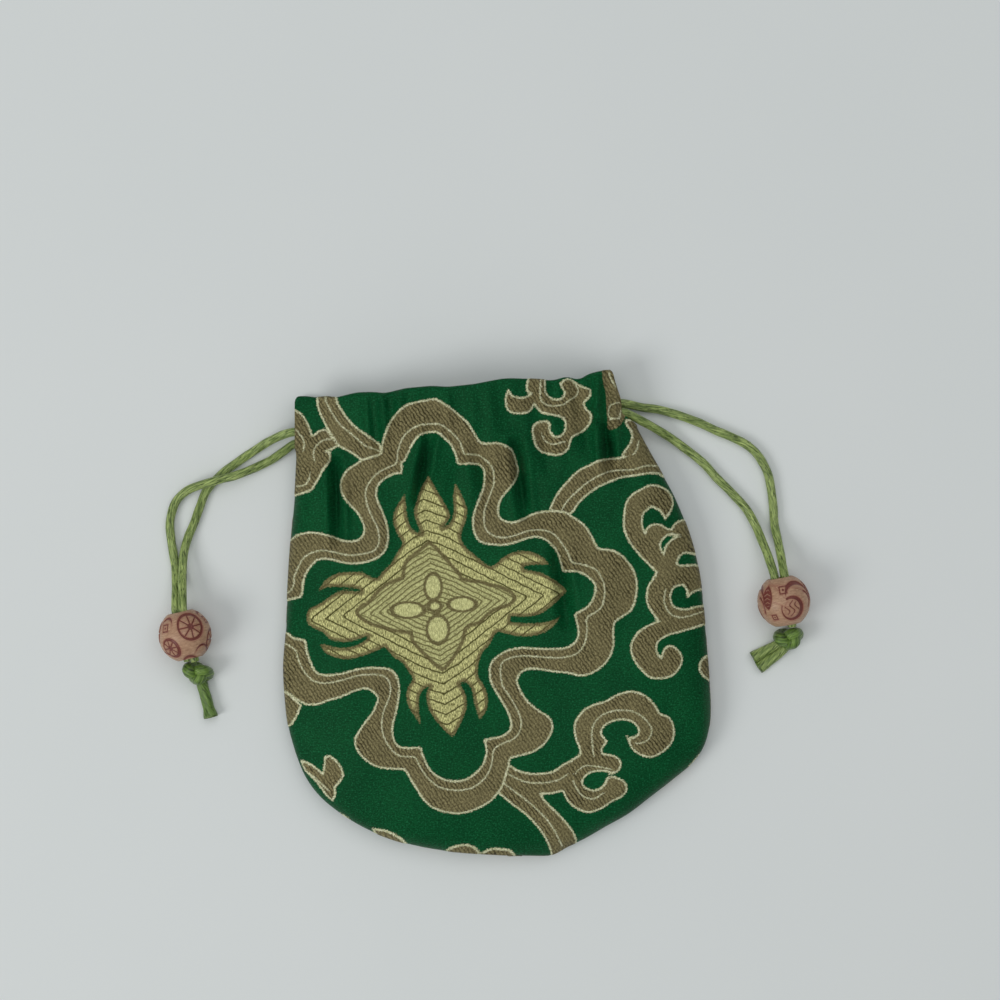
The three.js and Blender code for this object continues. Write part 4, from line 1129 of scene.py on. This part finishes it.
def brocade():
    n = Nodes("brocade")
    flat = n.vector("flat")
    # The pattern's edges step from thread to thread.
    teeth = n.noise(n.stretched(flat, (1.6, 5.2, 1.0)), scale=1.0, detail=2.0, roughness=0.6)
    jag = n.spread(teeth, 0.3, 0.7, -1.0, 1.0)
    strands = n.noise(n.stretched(flat, (5.5, 1.6, 1.0)), scale=1.0, detail=2.0, roughness=0.6)
    cross_jag = n.spread(strands, 0.3, 0.7, -1.0, 1.0)
    frame_band, scrolls = n.number("frame_band"), n.number("scrolls")
    taupe_share = n.under(n.add(n.number("taupe"), n.times(jag, 0.6)), 0.0, 0.35)
    gold_share = n.under(n.add(n.number("gold"), n.times(jag, 1.0)), 0.0, 0.5)

    def cream_line(distance, half_width):
        ragged = n.add(distance, n.add(n.times(jag, 0.7), n.times(cross_jag, 0.7)))
        return n.under(n.maths("ABSOLUTE", ragged), half_width, 0.5)

    outside_frame = n.under(n.times(frame_band, -1.0), -0.6, 0.5)
    scroll_edges = n.times(cream_line(scrolls, EDGE_LINE), outside_frame)
    near_line = n.under(n.number("line_near"), 2.6, 0.3)
    open_lines = n.times(cream_line(n.number("line_side"), INNER_LINE), near_line)
    inner_lines = n.maths("MAXIMUM", cream_line(n.number("middle_line"), INNER_LINE), open_lines)
    edge_lines = n.maths("MAXIMUM", cream_line(frame_band, EDGE_LINE), scroll_edges)
    cream_share = n.maths("MAXIMUM", edge_lines, inner_lines)

    # Satin ground
    cloudy = n.noise(flat, scale=0.09, detail=3.0, roughness=0.55)
    weft = n.noise(n.stretched(flat, (0.9, 4.5, 1.0), 4.0), scale=1.0, detail=3.0, roughness=0.65)
    grain = n.noise(flat, scale=2.6, detail=2.0, roughness=0.7)
    ground = n.mix(n.spread(weft, 0.3, 0.72, 0.0, 1.0), colour("ground_dark"), colour("ground_light"))
    ground = n.mix(n.times(n.spread(cloudy, 0.38, 0.62, 0.0, 1.0), 0.5), ground, colour("ground_cloud"))
    ground = n.mix(n.times(n.spread(grain, 0.52, 0.7, 0.0, 1.0), 0.6), ground, colour("ground_fleck"))
    ground = n.mix(n.times(n.spread(grain, 0.42, 0.3, 0.0, 1.0), 0.35), ground, colour("ground_deep"))

    # Taupe bands with dark diagonal floats
    along_floats = n.stretched(flat, (1.0, 1.0, 1.0), turn=FLOAT_TURN)
    streak = n.wave(along_floats, scale=0.4, distortion=5.0, detail_scale=2.2)
    fine_floats = n.stretched(flat, (2.6, 2.0, 1.0), turn=FLOAT_TURN)
    patchy = n.noise(fine_floats, scale=1.0, detail=3.0, roughness=0.75)
    worn = n.noise(flat, scale=0.16, detail=2.0, roughness=0.5)
    band = n.mix(n.spread(patchy, 0.32, 0.68, 0.0, 1.0), colour("band_dark"), colour("band_light"))
    band = n.mix(n.times(n.spread(streak, 0.5, 0.95, 0.0, 1.0), n.spread(worn, 0.35, 0.65, 0.4, 0.95)), band,
                 colour("band_float"))

    # Cream floats
    cream = n.mix(n.spread(grain, 0.3, 0.7, 0.0, 1.0), colour("cream_dark"), colour("cream_light"))

    # Gold medallion: chevrons, the outlined diamond and its petals
    thread = n.noise(n.stretched(flat, (5.0, 1.2, 1.0)), scale=1.0, detail=3.0, roughness=0.7)
    gold = n.mix(n.spread(thread, 0.4, 0.62, 0.0, 1.0), colour("gold_dark"), colour("gold_light"))
    wander = n.times(n.add(n.noise(flat, scale=0.5, detail=2.0, roughness=0.5), -0.5), 3.0)
    ring_share = n.maths("FRACT", n.maths("DIVIDE", n.add(n.number("rings"), wander), RING_SPACING))
    ring_line = n.under(n.maths("ABSOLUTE", n.add(ring_share, -0.5)), 0.075, 0.05)
    in_diamond = n.under(n.number("diamond"), 0.0, 0.4)
    inner_turns = n.maths("FRACT", n.maths("DIVIDE", n.add(n.number("rings"), wander), RING_SPACING / 2))
    inner_line = n.under(n.maths("ABSOLUTE", n.add(inner_turns, -0.5)), 0.16, 0.1)
    fleck = n.noise(n.stretched(flat, (2.4, 2.4, 1.0), 40.0), scale=1.0, detail=2.0, roughness=0.7)
    speckle = n.maths("MAXIMUM", n.spread(fleck, 0.55, 0.6, 0.0, 0.8), n.times(inner_line, 0.85))
    hatch = n.mix(n.spread(thread, 0.3, 0.7, 0.0, 1.0), colour("diamond_dark"), colour("diamond_light"))
    hatch = n.mix(speckle, hatch, colour("diamond_hatch"))
    petal_gold = n.mix(n.spread(thread, 0.3, 0.7, 0.0, 1.0), colour("petal_dark"), colour("petal_light"))
    gold = n.mix(n.times(ring_line, 0.9), gold, colour("gold_line"))
    gold = n.mix(in_diamond, gold, hatch)
    gold = n.mix(n.under(n.number("petal"), -0.8, 0.4), gold, petal_gold)
    outline_petal = n.under(n.maths("ABSOLUTE", n.add(n.number("petal"), n.times(jag, 0.8))), 1.7, 0.5)
    outline_diamond = n.under(n.maths("ABSOLUTE", n.add(n.number("diamond"), n.times(jag, 0.9))), 1.9, 0.6)
    rim = n.under(n.maths("ABSOLUTE", n.add(n.number("gold"), n.add(1.0, cross_jag))), 2.2, 1.0)
    outlined = n.maths("MAXIMUM", outline_petal, outline_diamond)
    brown = n.mix(n.spread(grain, 0.35, 0.65, 0.0, 1.0), colour("outline_dark"), colour("outline_light"))
    gold = n.mix(n.times(outlined, 0.9), gold, brown)
    gold = n.mix(n.times(rim, 0.85), gold, brown)

    look = n.mix(taupe_share, ground, band)
    look = n.mix(cream_share, look, cream)
    look = n.mix(gold_share, look, gold)

    along_ribs = n.stretched(flat, (1.0, 1.0, 1.0), turn=RIB_TURN)
    ribs = n.wave(along_ribs, scale=0.85, distortion=0.8, detail_scale=2.0)
    height = n.add(n.times(ribs, 0.3), n.times(weft, 0.8))
    height = n.add(height, n.times(taupe_share, n.times(streak, -0.7)))
    height = n.add(height, n.times(taupe_share, patchy))
    height = n.add(height, n.times(cream_share, 1.1))
    height = n.add(height, n.times(gold_share, n.add(thread, n.times(ring_line, -1.2))))
    normal = n.bump(height, strength=0.8, distance=0.00014)
    patterned = n.maths("MAXIMUM", taupe_share, gold_share)
    roughness = n.spread(patterned, 0.0, 1.0, 0.45, 0.55)
    return n.finish(look, normal, roughness, specular_ior_level=0.06, sheen_weight=0.02, sheen_roughness=0.4)


def satin_cord(name, dark, bright, deep):
    """A cord of glossy threads; deep is a painted shade colour laid in the gaps between them."""
    n = Nodes(name)
    place = n.vector("thread")
    fibre = n.noise(n.stretched(place, (0.35, 3.2, 3.2)), scale=1.0, detail=3.0, roughness=0.6)
    gaps = n.noise(n.stretched(place, (0.4, 2.2, 2.2)), scale=1.6, detail=2.0, roughness=0.6)
    long_patch = n.noise(n.stretched(place, (0.3, 0.9, 0.9)), scale=1.0, detail=2.0, roughness=0.5)
    look = n.mix(n.spread(fibre, 0.34, 0.66, 0.0, 1.0), dark, bright)
    look = n.mix(n.times(n.spread(long_patch, 0.4, 0.65, 0.0, 1.0), 0.4), look, dark)
    # Painted shade: the gaps between the threads, where the bump is lowest, are darkened towards deep.
    look = n.mix(n.times(n.spread(gaps, 0.44, 0.34, 0.0, 1.0), 0.85), look, deep)
    normal = n.bump(n.add(fibre, n.times(gaps, 1.5)), strength=0.9, distance=0.0002)
    return n.finish(look, normal, 0.34, specular_ior_level=0.4, sheen_weight=0.04, sheen_roughness=0.35)


def melted_cord():
    n = Nodes("melted_cord")
    place = n.vector("thread")
    crust = n.noise(place, scale=1.6, detail=4.0, roughness=0.6)
    look = n.mix(n.spread(crust, 0.35, 0.65, 0.0, 1.0), colour("melted_dark"), colour("melted_light"))
    normal = n.bump(crust, strength=0.6, distance=0.0002)
    return n.finish(look, normal, 0.3, specular_ior_level=0.6)


def carved_wood():
    n = Nodes("carved_wood")
    place = n.vector("surface")
    grain = n.noise(n.stretched(place, (0.9, 3.6, 0.9)), scale=1.0, detail=4.0, roughness=0.6)
    pores = n.noise(n.stretched(place, (5.0, 1.4, 5.0)), scale=1.0, detail=3.0, roughness=0.6)
    wood = n.mix(n.spread(grain, 0.3, 0.7, 0.0, 1.0), colour("wood_light"), colour("wood_dark"))
    wood = n.mix(n.times(n.spread(pores, 0.55, 0.75, 0.0, 1.0), 0.5), wood, colour("wood_pore"))
    cut = n.add(n.number("carved"), n.times(n.add(pores, -0.5), 0.12))
    stain = n.mix(n.spread(pores, 0.3, 0.7, 0.0, 1.0), colour("stain_dark"), colour("stain_light"))
    halo = n.times(n.under(cut, 0.22, 0.22), 0.55)
    look = n.mix(halo, wood, colour("stain_edge"))
    look = n.mix(n.under(cut, 0.0, 0.05), look, stain)
    normal = n.bump(n.add(grain, pores), strength=0.3, distance=0.00008)
    return n.finish(look, normal, 0.42, specular_ior_level=0.35, coat_weight=0.08, coat_roughness=0.3)


def floor_paint():
    n = Nodes("pale_floor")
    place = n.node("ShaderNodeTexCoord", {}).outputs["Object"]
    mottled = n.noise(place, scale=14.0, detail=3.0, roughness=0.5)
    look = n.mix(mottled, colour("floor_dark"), colour("floor_light"))
    return n.finish(look, None, 0.7, specular_ior_level=0.2)


# The cords, beads and knots


def frames_along(path):
    """Two cross directions at every point of a path, carried along it without twisting."""
    tangents = np.gradient(path, axis=0)
    tangents /= np.linalg.norm(tangents, axis=1)[:, None]
    normal = np.cross(tangents[0], (0, 0, 1.0))
    normal = normal / np.linalg.norm(normal) if np.linalg.norm(normal) > 1e-6 else np.array((1.0, 0, 0))
    normals = []
    for tangent in tangents:
        normal = normal - tangent * (normal @ tangent)
        normal = normal / np.linalg.norm(normal)
        normals.append(normal)
    normals = np.array(normals)
    return normals, np.cross(tangents, normals)


def rings_round(path, reach, first, second):
    """Rings of points round a path, each at its own reach."""
    angles = np.linspace(0, 2 * math.pi, CORD_SIDES, endpoint=False)
    sideways = np.cos(angles)[None, :, None] * first[:, None, :]
    upward = np.sin(angles)[None, :, None] * second[:, None, :]
    return path[:, None, :] + (sideways + upward) * reach[..., None]


def travelled(path):
    return np.concatenate([[0], np.cumsum(np.linalg.norm(np.diff(path, axis=0), axis=1))])


def wound(travel, twist, phase=0.0):
    """The angle of every point round a cord, as its threads see it."""
    angles = np.linspace(0, 2 * math.pi, CORD_SIDES, endpoint=False)
    return angles[None, :] + twist * travel[:, None] + phase


def thread_places(travel, winding, reach):
    return np.dstack([travel[:, None] + 0 * winding, np.sin(winding) * reach, np.cos(winding) * reach])


def closed_tube(name, path, rings, thread, material):
    """A tube with both ends closed by fans."""
    count = len(path)
    points = np.vstack([rings.reshape(-1, 3), path[:1], path[-1:]])
    faces = grid_faces(count, CORD_SIDES, close_columns=True)
    start, end = count * CORD_SIDES, count * CORD_SIDES + 1
    last_ring = (count - 1) * CORD_SIDES
    for side in range(CORD_SIDES):
        after = (side + 1) % CORD_SIDES
        faces.append((after, side, start))
        faces.append((last_ring + side, last_ring + after, end))
    piece = mesh_object(name, points, faces, material)
    set_attribute(piece, "thread", thread)
    return piece


def tube_object(name, path, radius, material, phase=0.0):
    """A cord whose threads show as low ridges that wind slowly round it."""
    first, second = frames_along(path)
    travel = travelled(path)
    winding = wound(travel, CORD_TWIST, phase)
    bumps = 1 + CORD_RIDGE * (np.abs(np.cos(winding * CORD_RIDGES / 2)) - 0.5)
    bumps += CORD_UNEVENNESS * np.sin(travel * 1.1 + phase)[:, None]
    rings = rings_round(path, radius * bumps, first, second)
    thread = thread_places(travel, winding, CORD_DIAMETER / 2)
    threads = np.vstack([thread.reshape(-1, 3), thread[:1, 0], thread[-1:, 0]])
    return closed_tube(name, path, rings, threads, material)


def shifted(points):
    return [(x, y + CENTRE_SHIFT, z) for x, y, z in points]


def loop_route(cord):
    near = HEM_LEFT + LOOP_SETBACK if cord == "left" else HEM_RIGHT - LOOP_SETBACK
    far = HEM_RIGHT - TURN_SETBACK if cord == "left" else HEM_LEFT + TURN_SETBACK
    way = math.copysign(1, far - near)

    def in_tunnel(side, x):
        low, high = LANES[cord][side]
        up = lerp(low, high, (x - HEM_LEFT) / (HEM_RIGHT - HEM_LEFT))
        return hem_point(side, np.array(float(x)), up, TUNNEL_MIDDLE)

    points = [in_tunnel("front", x) for x in np.linspace(near, far, 13)]
    start, end = in_tunnel("front", far), in_tunnel("back", far)
    for angle in TURN_ANGLES:
        radians = math.radians(angle)
        point = lerp(start, end, (1 + math.sin(radians)) / 2)
        point[0] += way * TURN_BULGE * math.cos(radians)
        points.append(point)
    points += [in_tunnel("back", x) for x in np.linspace(far, near, 13)]
    return points


def make_loop(cord, material):
    path = along_curve(shifted(loop_route(cord)), CORD_STEP * 2)
    radius = CORD_DIAMETER / 2 - LOOP_CLEARANCE
    piece = tube_object(f"{cord}_cord_in_hem", path, radius, material)
    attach(piece, "root")
    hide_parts(f"cord_{cord}_loop")
    return piece


def make_strand(name, material):
    route = shifted(STRANDS[name])
    path = along_curve(route, CORD_STEP)
    phase = 1.7 * sorted(STRANDS).index(name)
    radius = CORD_DIAMETER / 2 - CORD_CLEARANCE
    piece = tube_object(f"{name}_strand", path, radius, material, phase)
    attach(piece, "root")
    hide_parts(name)
    return piece


def make_tail(name, material, melted):
    tail = TAILS[name]
    path = along_curve(shifted(tail["route"]), CORD_STEP)
    travel = np.linspace(0, 1, len(path))
    radius = tail["diameter"] / 2 * (1 + (tail["flare"] - 1) * smoothstep(travel, tail["flare_from"], 1.0))
    # The end is melted into a cup: the surface turns in and runs back a little.
    inward = path[-1] - path[-2]
    inward = inward / np.linalg.norm(inward)
    lip = [path[-1] + inward * step for step in CUP_STEPS]
    whole = np.vstack([path, lip])
    radii = np.concatenate([radius, radius[-1] * np.array(CUP_SHARES)])
    first, second = frames_along(path)
    first = np.vstack([first, np.repeat(first[-1:], len(lip), axis=0)])
    second = np.vstack([second, np.repeat(second[-1:], len(lip), axis=0)])
    along = travelled(whole)
    winding = wound(along, TAIL_TWIST)
    bumps = 1 + TAIL_RIDGE * (np.abs(np.cos(winding * TAIL_RIDGES / 2)) - 0.5)
    rings = rings_round(whole, radii[:, None] * bumps, first, second)
    rings[..., 2] = np.maximum(rings[..., 2], FLOOR_CLEARANCE)
    threads = thread_places(along, winding, 1).reshape(-1, 3)
    threads = np.vstack([threads, threads[:1], threads[-1:]])
    piece = closed_tube(f"{name}_end", whole, rings, threads, material)
    piece.data.materials.append(melted)
    melted_from = (len(path) - 2) * CORD_SIDES
    for face in piece.data.polygons:
        if min(face.vertices) >= melted_from:
            face.material_index = 1
    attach(piece, "root")
    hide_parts(name)
    return piece


def make_knot(cord, material):
    """An overhand knot: the doubled cord goes once round itself."""
    facts = CORD_ENDS[cord]
    turn = np.linspace(0, 2 * math.pi, KNOT_POINTS, endpoint=False)
    route = np.stack([
        np.sin(turn) + KNOT_LOBES * np.sin(2 * turn),
        np.cos(turn) - KNOT_LOBES * np.cos(2 * turn),
        -np.sin(3 * turn),
    ], axis=1)
    reach = np.array(KNOT_SIZE) / 2 - KNOT_THICKNESS - KNOT_CLEARANCE
    route = route / np.abs(route).max(axis=0) * reach
    closed = np.vstack([route, route[:1]])
    first, second = frames_along(closed)
    # The carried directions are turned evenly, so that the ring closes.
    end_angle = math.atan2(first[-1] @ second[0], first[-1] @ first[0])
    angles = np.linspace(0, 2 * math.pi, CORD_SIDES, endpoint=False)
    travel = np.arange(len(route)) / len(route)
    turned = angles[None, :] - end_angle * travel[:, None]
    winding = angles[None, :] + KNOT_TURNS * 2 * math.pi * travel[:, None]
    bumps = 1 + KNOT_RIDGE * (np.abs(np.cos(winding * KNOT_RIDGES / 2)) - 0.5)
    sideways = np.cos(turned)[..., None] * first[:-1][:, None, :]
    upward = np.sin(turned)[..., None] * second[:-1][:, None, :]
    rings = route[:, None, :] + (sideways + upward) * (KNOT_THICKNESS * bumps)[..., None]
    spin = math.radians(facts["knot_turn"])
    points = rings.reshape(-1, 3)
    x = points[:, 0] * math.cos(spin) - points[:, 1] * math.sin(spin) + facts["knot"][0]
    y = points[:, 0] * math.sin(spin) + points[:, 1] * math.cos(spin) + facts["knot"][1] + CENTRE_SHIFT
    z = points[:, 2] + KNOT_SIZE[2] / 2
    count = len(route) * CORD_SIDES
    faces = [
        tuple(corner % count for corner in face)
        for face in grid_faces(len(route) + 1, CORD_SIDES, close_columns=True)
    ]
    piece = mesh_object(f"{cord}_overhand_knot", np.stack([x, y, z], axis=1), faces, material)
    set_attribute(piece, "thread", thread_places(travel * KNOT_LENGTH, winding, 1).reshape(-1, 3))
    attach(piece, "root")
    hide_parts(f"knot_{cord}")
    return piece


# What is carved in each bead: kind, photo pixel, and size in mm
MARKS = {
    "left": (
        ("wheel", (195.2, 624.6), 2.9),
        ("wheel", (174.4, 646.5), 2.1),
        ("frame", (169.0, 627.0), 0.75),
        ("crescent", (171.0, 618.5), 1.3),
        ("crescent", (206.0, 643.5), 1.3),
        ("crescent", (193.0, 655.5), 1.6),
    ),
    "right": (
        ("almond", (763.5, 597.0), 2.7),
        ("hook", (788.4, 606.3), 2.9),
        ("frame", (779.0, 588.5), 0.8),
        ("crescent", (791.0, 583.5), 2.6),
        ("frame", (771.5, 616.0), 0.55),
        ("arc", (799.0, 600.0), 2.6),
    ),
}
MARK_COPIES = 3
CARVE_DEPTH = 0.24
LINE_WIDTH = 0.5


def mark_distance(kind, off, size):
    """The distance to a carved mark, in mm on the bead's surface, under 0 where it is cut."""
    radius = np.hypot(off[..., 0], off[..., 1])
    angle = np.arctan2(off[..., 1], off[..., 0])
    half = LINE_WIDTH / 2
    if kind == "wheel":
        ring = np.abs(radius - size) - half * (1.15 + 0.35 * np.cos(angle))
        hub = np.abs(radius - size * 0.2) - half * 0.55
        spoke = np.abs(np.sin(angle * 4)) * radius / 4 - half * 0.5
        spoke = np.where(radius < size, spoke, radius - size)
        return np.minimum(np.minimum(ring, hub), spoke)
    if kind == "hook":
        opening = np.abs(np.arctan2(np.sin(angle - 2.4), np.cos(angle - 2.4))) - 0.35
        thick = half * (1.2 + 0.9 * np.cos(angle))
        ring = np.where(opening < 0, -opening * size, np.abs(radius - size * 0.85) - thick)
        scribble = np.abs(np.sin(off[..., 0] * 2.6 + 1.4 * np.sin(off[..., 1] * 2.2))) * 0.35 - 0.1
        return np.minimum(ring, np.maximum(scribble, radius - size * 0.62))
    if kind == "arc":
        away = np.abs(np.arctan2(np.sin(angle - 0.3), np.cos(angle - 0.3))) - 0.9
        return np.maximum(np.abs(radius - size) - half * 0.8, away * size)
    if kind == "frame":
        outside = np.maximum(np.abs(off[..., 0]), np.abs(off[..., 1])) - size
        return np.minimum(np.abs(outside) - half * 0.45, radius - size * 0.3)
    if kind == "crescent":
        upper = np.hypot(off[..., 0], off[..., 1] + size * 0.9) - size * 1.25
        lower = np.hypot(off[..., 0], off[..., 1] + size * 1.35) - size * 1.35
        return np.maximum(upper, -lower)
    bulge = size * 0.5
    reach = (size ** 2 + bulge ** 2) / (2 * bulge)
    leaf = np.hypot(np.abs(off[..., 0]) + reach - bulge, off[..., 1]) - reach
    vein = np.abs(np.sin(off[..., 1] * 3.4 + np.abs(off[..., 0]) * 2)) * 0.3 - 0.1
    return np.maximum(leaf, -np.maximum(vein, leaf + 0.42))


def make_bead(cord, material):
    facts = CORD_ENDS[cord]
    end_angle = math.acos(BEAD_END_DIAMETER / BEAD_DIAMETER)
    half_ellipse = BEAD_LENGTH / 2 / math.sin(end_angle)
    spin = math.radians(facts["bead_turn"])
    centre = np.array(facts["bead"])

    def surface_place(pixel):
        """A photo pixel over the bead as a place round it and along it, in mm."""
        x = (pixel[0] - PHOTO_ORIGIN[0]) * PHOTO_SCALE - centre[0]
        y = (PHOTO_ORIGIN[1] - pixel[1]) * PHOTO_SCALE - centre[1]
        across = x * math.cos(spin) + y * math.sin(spin)
        along = -x * math.sin(spin) + y * math.cos(spin)
        reach = BEAD_DIAMETER / 2 * math.sqrt(max(1 - (along / half_ellipse) ** 2, 0.1))
        return math.asin(max(min(across / reach, 0.97), -0.97)), along

    around = np.linspace(-math.pi, math.pi, BEAD_SIDES, endpoint=False)
    outer_turn = np.linspace(-end_angle, end_angle, BEAD_RINGS)
    radius = np.cos(outer_turn) * BEAD_DIAMETER / 2
    along = np.sin(outer_turn) * half_ellipse
    angle_grid, radius_grid = np.meshgrid(around, radius)
    along_grid = np.repeat(along[:, None], BEAD_SIDES, axis=1)
    carved = np.full(angle_grid.shape, UNCARVED)
    for kind, pixel, size in MARKS[cord]:
        at_angle, at_along = surface_place(pixel)
        for copy in range(MARK_COPIES):
            turned = angle_grid - at_angle - copy * 2 * math.pi / MARK_COPIES
            turned = np.arctan2(np.sin(turned), np.cos(turned))
            off = np.stack([turned * radius_grid, along_grid - at_along], axis=-1)
            carved = np.minimum(carved, mark_distance(kind, off, size))
    depth = CARVE_DEPTH * smoothstep(-carved, -0.08, 0.12)
    half_length = BEAD_LENGTH / 2
    rim = smoothstep(np.abs(along_grid), half_length, half_length - BEAD_END_ROUND)
    outer_radius = radius_grid - depth * rim - BEAD_CLEARANCE
    # The hole's wall, from the far end back to the near one, with rounded lips
    hole_along = np.linspace(half_length - BEAD_LIP, BEAD_LIP - half_length, HOLE_RINGS)
    face_along = np.full(FACE_RINGS, half_length - FACE_CLEARANCE)
    face_radius = np.linspace(BEAD_END_DIAMETER / 2 - 0.05, BEAD_BORE / 2 + BEAD_LIP, FACE_RINGS)
    profile_along = np.concatenate([face_along, hole_along, -face_along])
    profile_radius = np.concatenate([face_radius, np.full(HOLE_RINGS, BEAD_BORE / 2), face_radius[::-1]])
    radius_all = np.vstack([outer_radius, np.repeat(profile_radius[:, None], BEAD_SIDES, axis=1)])
    along_all = np.vstack([along_grid, np.repeat(profile_along[:, None], BEAD_SIDES, axis=1)])
    carved_all = np.vstack([carved, np.full((len(profile_radius), BEAD_SIDES), UNCARVED)])
    angle_all = np.repeat(around[None, :], len(radius_all), axis=0)
    across = np.sin(angle_all) * radius_all
    up = np.cos(angle_all) * radius_all
    x = across * math.cos(spin) - along_all * math.sin(spin) + centre[0]
    y = across * math.sin(spin) + along_all * math.cos(spin) + centre[1] + CENTRE_SHIFT
    z = up + BEAD_DIAMETER / 2
    rows_count = len(radius_all)
    faces = grid_faces(rows_count, BEAD_SIDES, close_columns=True, flip=True)
    last = (rows_count - 1) * BEAD_SIDES
    for column in range(BEAD_SIDES):
        after = (column + 1) % BEAD_SIDES
        faces.append((column, after, last + after, last + column))
    bead = mesh_object(f"{cord}_wood_bead", np.stack([x, y, z], axis=-1).reshape(-1, 3), faces, material)
    set_attribute(bead, "carved", carved_all.ravel())
    set_attribute(bead, "surface", np.stack([across, along_all, up], axis=-1).reshape(-1, 3))
    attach(bead, "root")
    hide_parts(f"bead_{cord}")
    return bead


# The studio


def make_camera():
    camera = bpy.data.cameras.new("camera")
    camera.sensor_width = SENSOR_WIDTH
    camera.lens = SENSOR_WIDTH * CAMERA_DISTANCE / (PHOTO_WIDTH * PHOTO_SCALE)
    holder = bpy.data.objects.new("camera", camera)
    bpy.context.scene.collection.objects.link(holder)
    x = (PHOTO_MIDDLE[0] - PHOTO_ORIGIN[0]) * PHOTO_SCALE
    y = (PHOTO_ORIGIN[1] - PHOTO_MIDDLE[1]) * PHOTO_SCALE
    holder.location = (x * MM, y * MM, (CAMERA_DISTANCE + PHOTO_PLANE) * MM)
    bpy.context.scene.camera = holder
    return holder


FLOOR_REACH = 3000
FLOOR_DROP = 0.05


def make_floor():
    corners = [
        (x * FLOOR_REACH, y * FLOOR_REACH, -FLOOR_DROP) for x, y in ((-1, -1), (1, -1), (1, 1), (-1, 1))
    ]
    floor = mesh_object("floor", corners, [(0, 1, 2, 3)], floor_paint(), smooth=False)
    return floor


# Each light's name, place in metres, size, power and tint
LIGHTS = (
    ("window", (-0.80, -0.40, 0.80), 0.50, 4.4, (1.0, 0.99, 0.97)),
    ("ceiling", (0.15, 0.35, 1.30), 1.40, 6.0, (1.0, 0.995, 0.985)),
)
WORLD_STRENGTH = 0.31


def make_lights():
    for name, place, size, power, tint in LIGHTS:
        lamp = bpy.data.lights.new(name, "AREA")
        lamp.size = size
        lamp.energy = power
        lamp.color = tint
        holder = bpy.data.objects.new(name, lamp)
        bpy.context.scene.collection.objects.link(holder)
        holder.location = place
        x, y, z = place
        holder.rotation_euler = (0.0, math.atan2(math.hypot(x, y), z), math.atan2(y, x))
    world = bpy.data.worlds.new("studio")
    world.use_nodes = True
    background = world.node_tree.nodes["Background"]
    background.inputs["Color"].default_value = (0.97, 0.99, 1.0, 1.0)
    background.inputs["Strength"].default_value = WORLD_STRENGTH
    bpy.context.scene.world = world
    bpy.context.scene.view_settings.view_transform = "Standard"


make_camera()
cord_look = satin_cord("satin_cord", colour("cord_dark"), colour("cord_light"), colour("cord_gap_shade"))
# The knots get a darker copy of the cord's material: painted shade.
shaded_knot_look = satin_cord("shaded_satin_knot", colour("knot_shaded_dark"), colour("knot_shaded_light"), colour("knot_shaded_gap"))
melted_look = melted_cord()
wood_look = carved_wood()
for cord_name in ("left", "right"):
    bead_piece = make_bead(cord_name, wood_look)
    knot_piece = make_knot(cord_name, shaded_knot_look)
    # The left tail wears the knots' darker copy of the cord's material: painted shade.
    tail_look = shaded_knot_look if cord_name == "left" else cord_look
    tail_pieces = [make_tail(name, tail_look, melted_look) for name in TAILS if cord_name in name]
    make_loop(cord_name, cord_look)
    make_strand(f"cord_{cord_name}_front", cord_look)
    make_strand(f"cord_{cord_name}_back", cord_look)
cloth_look = brocade()
make_floor()
make_cloth("back", cloth_look)
make_cloth("front", cloth_look)
make_lights()
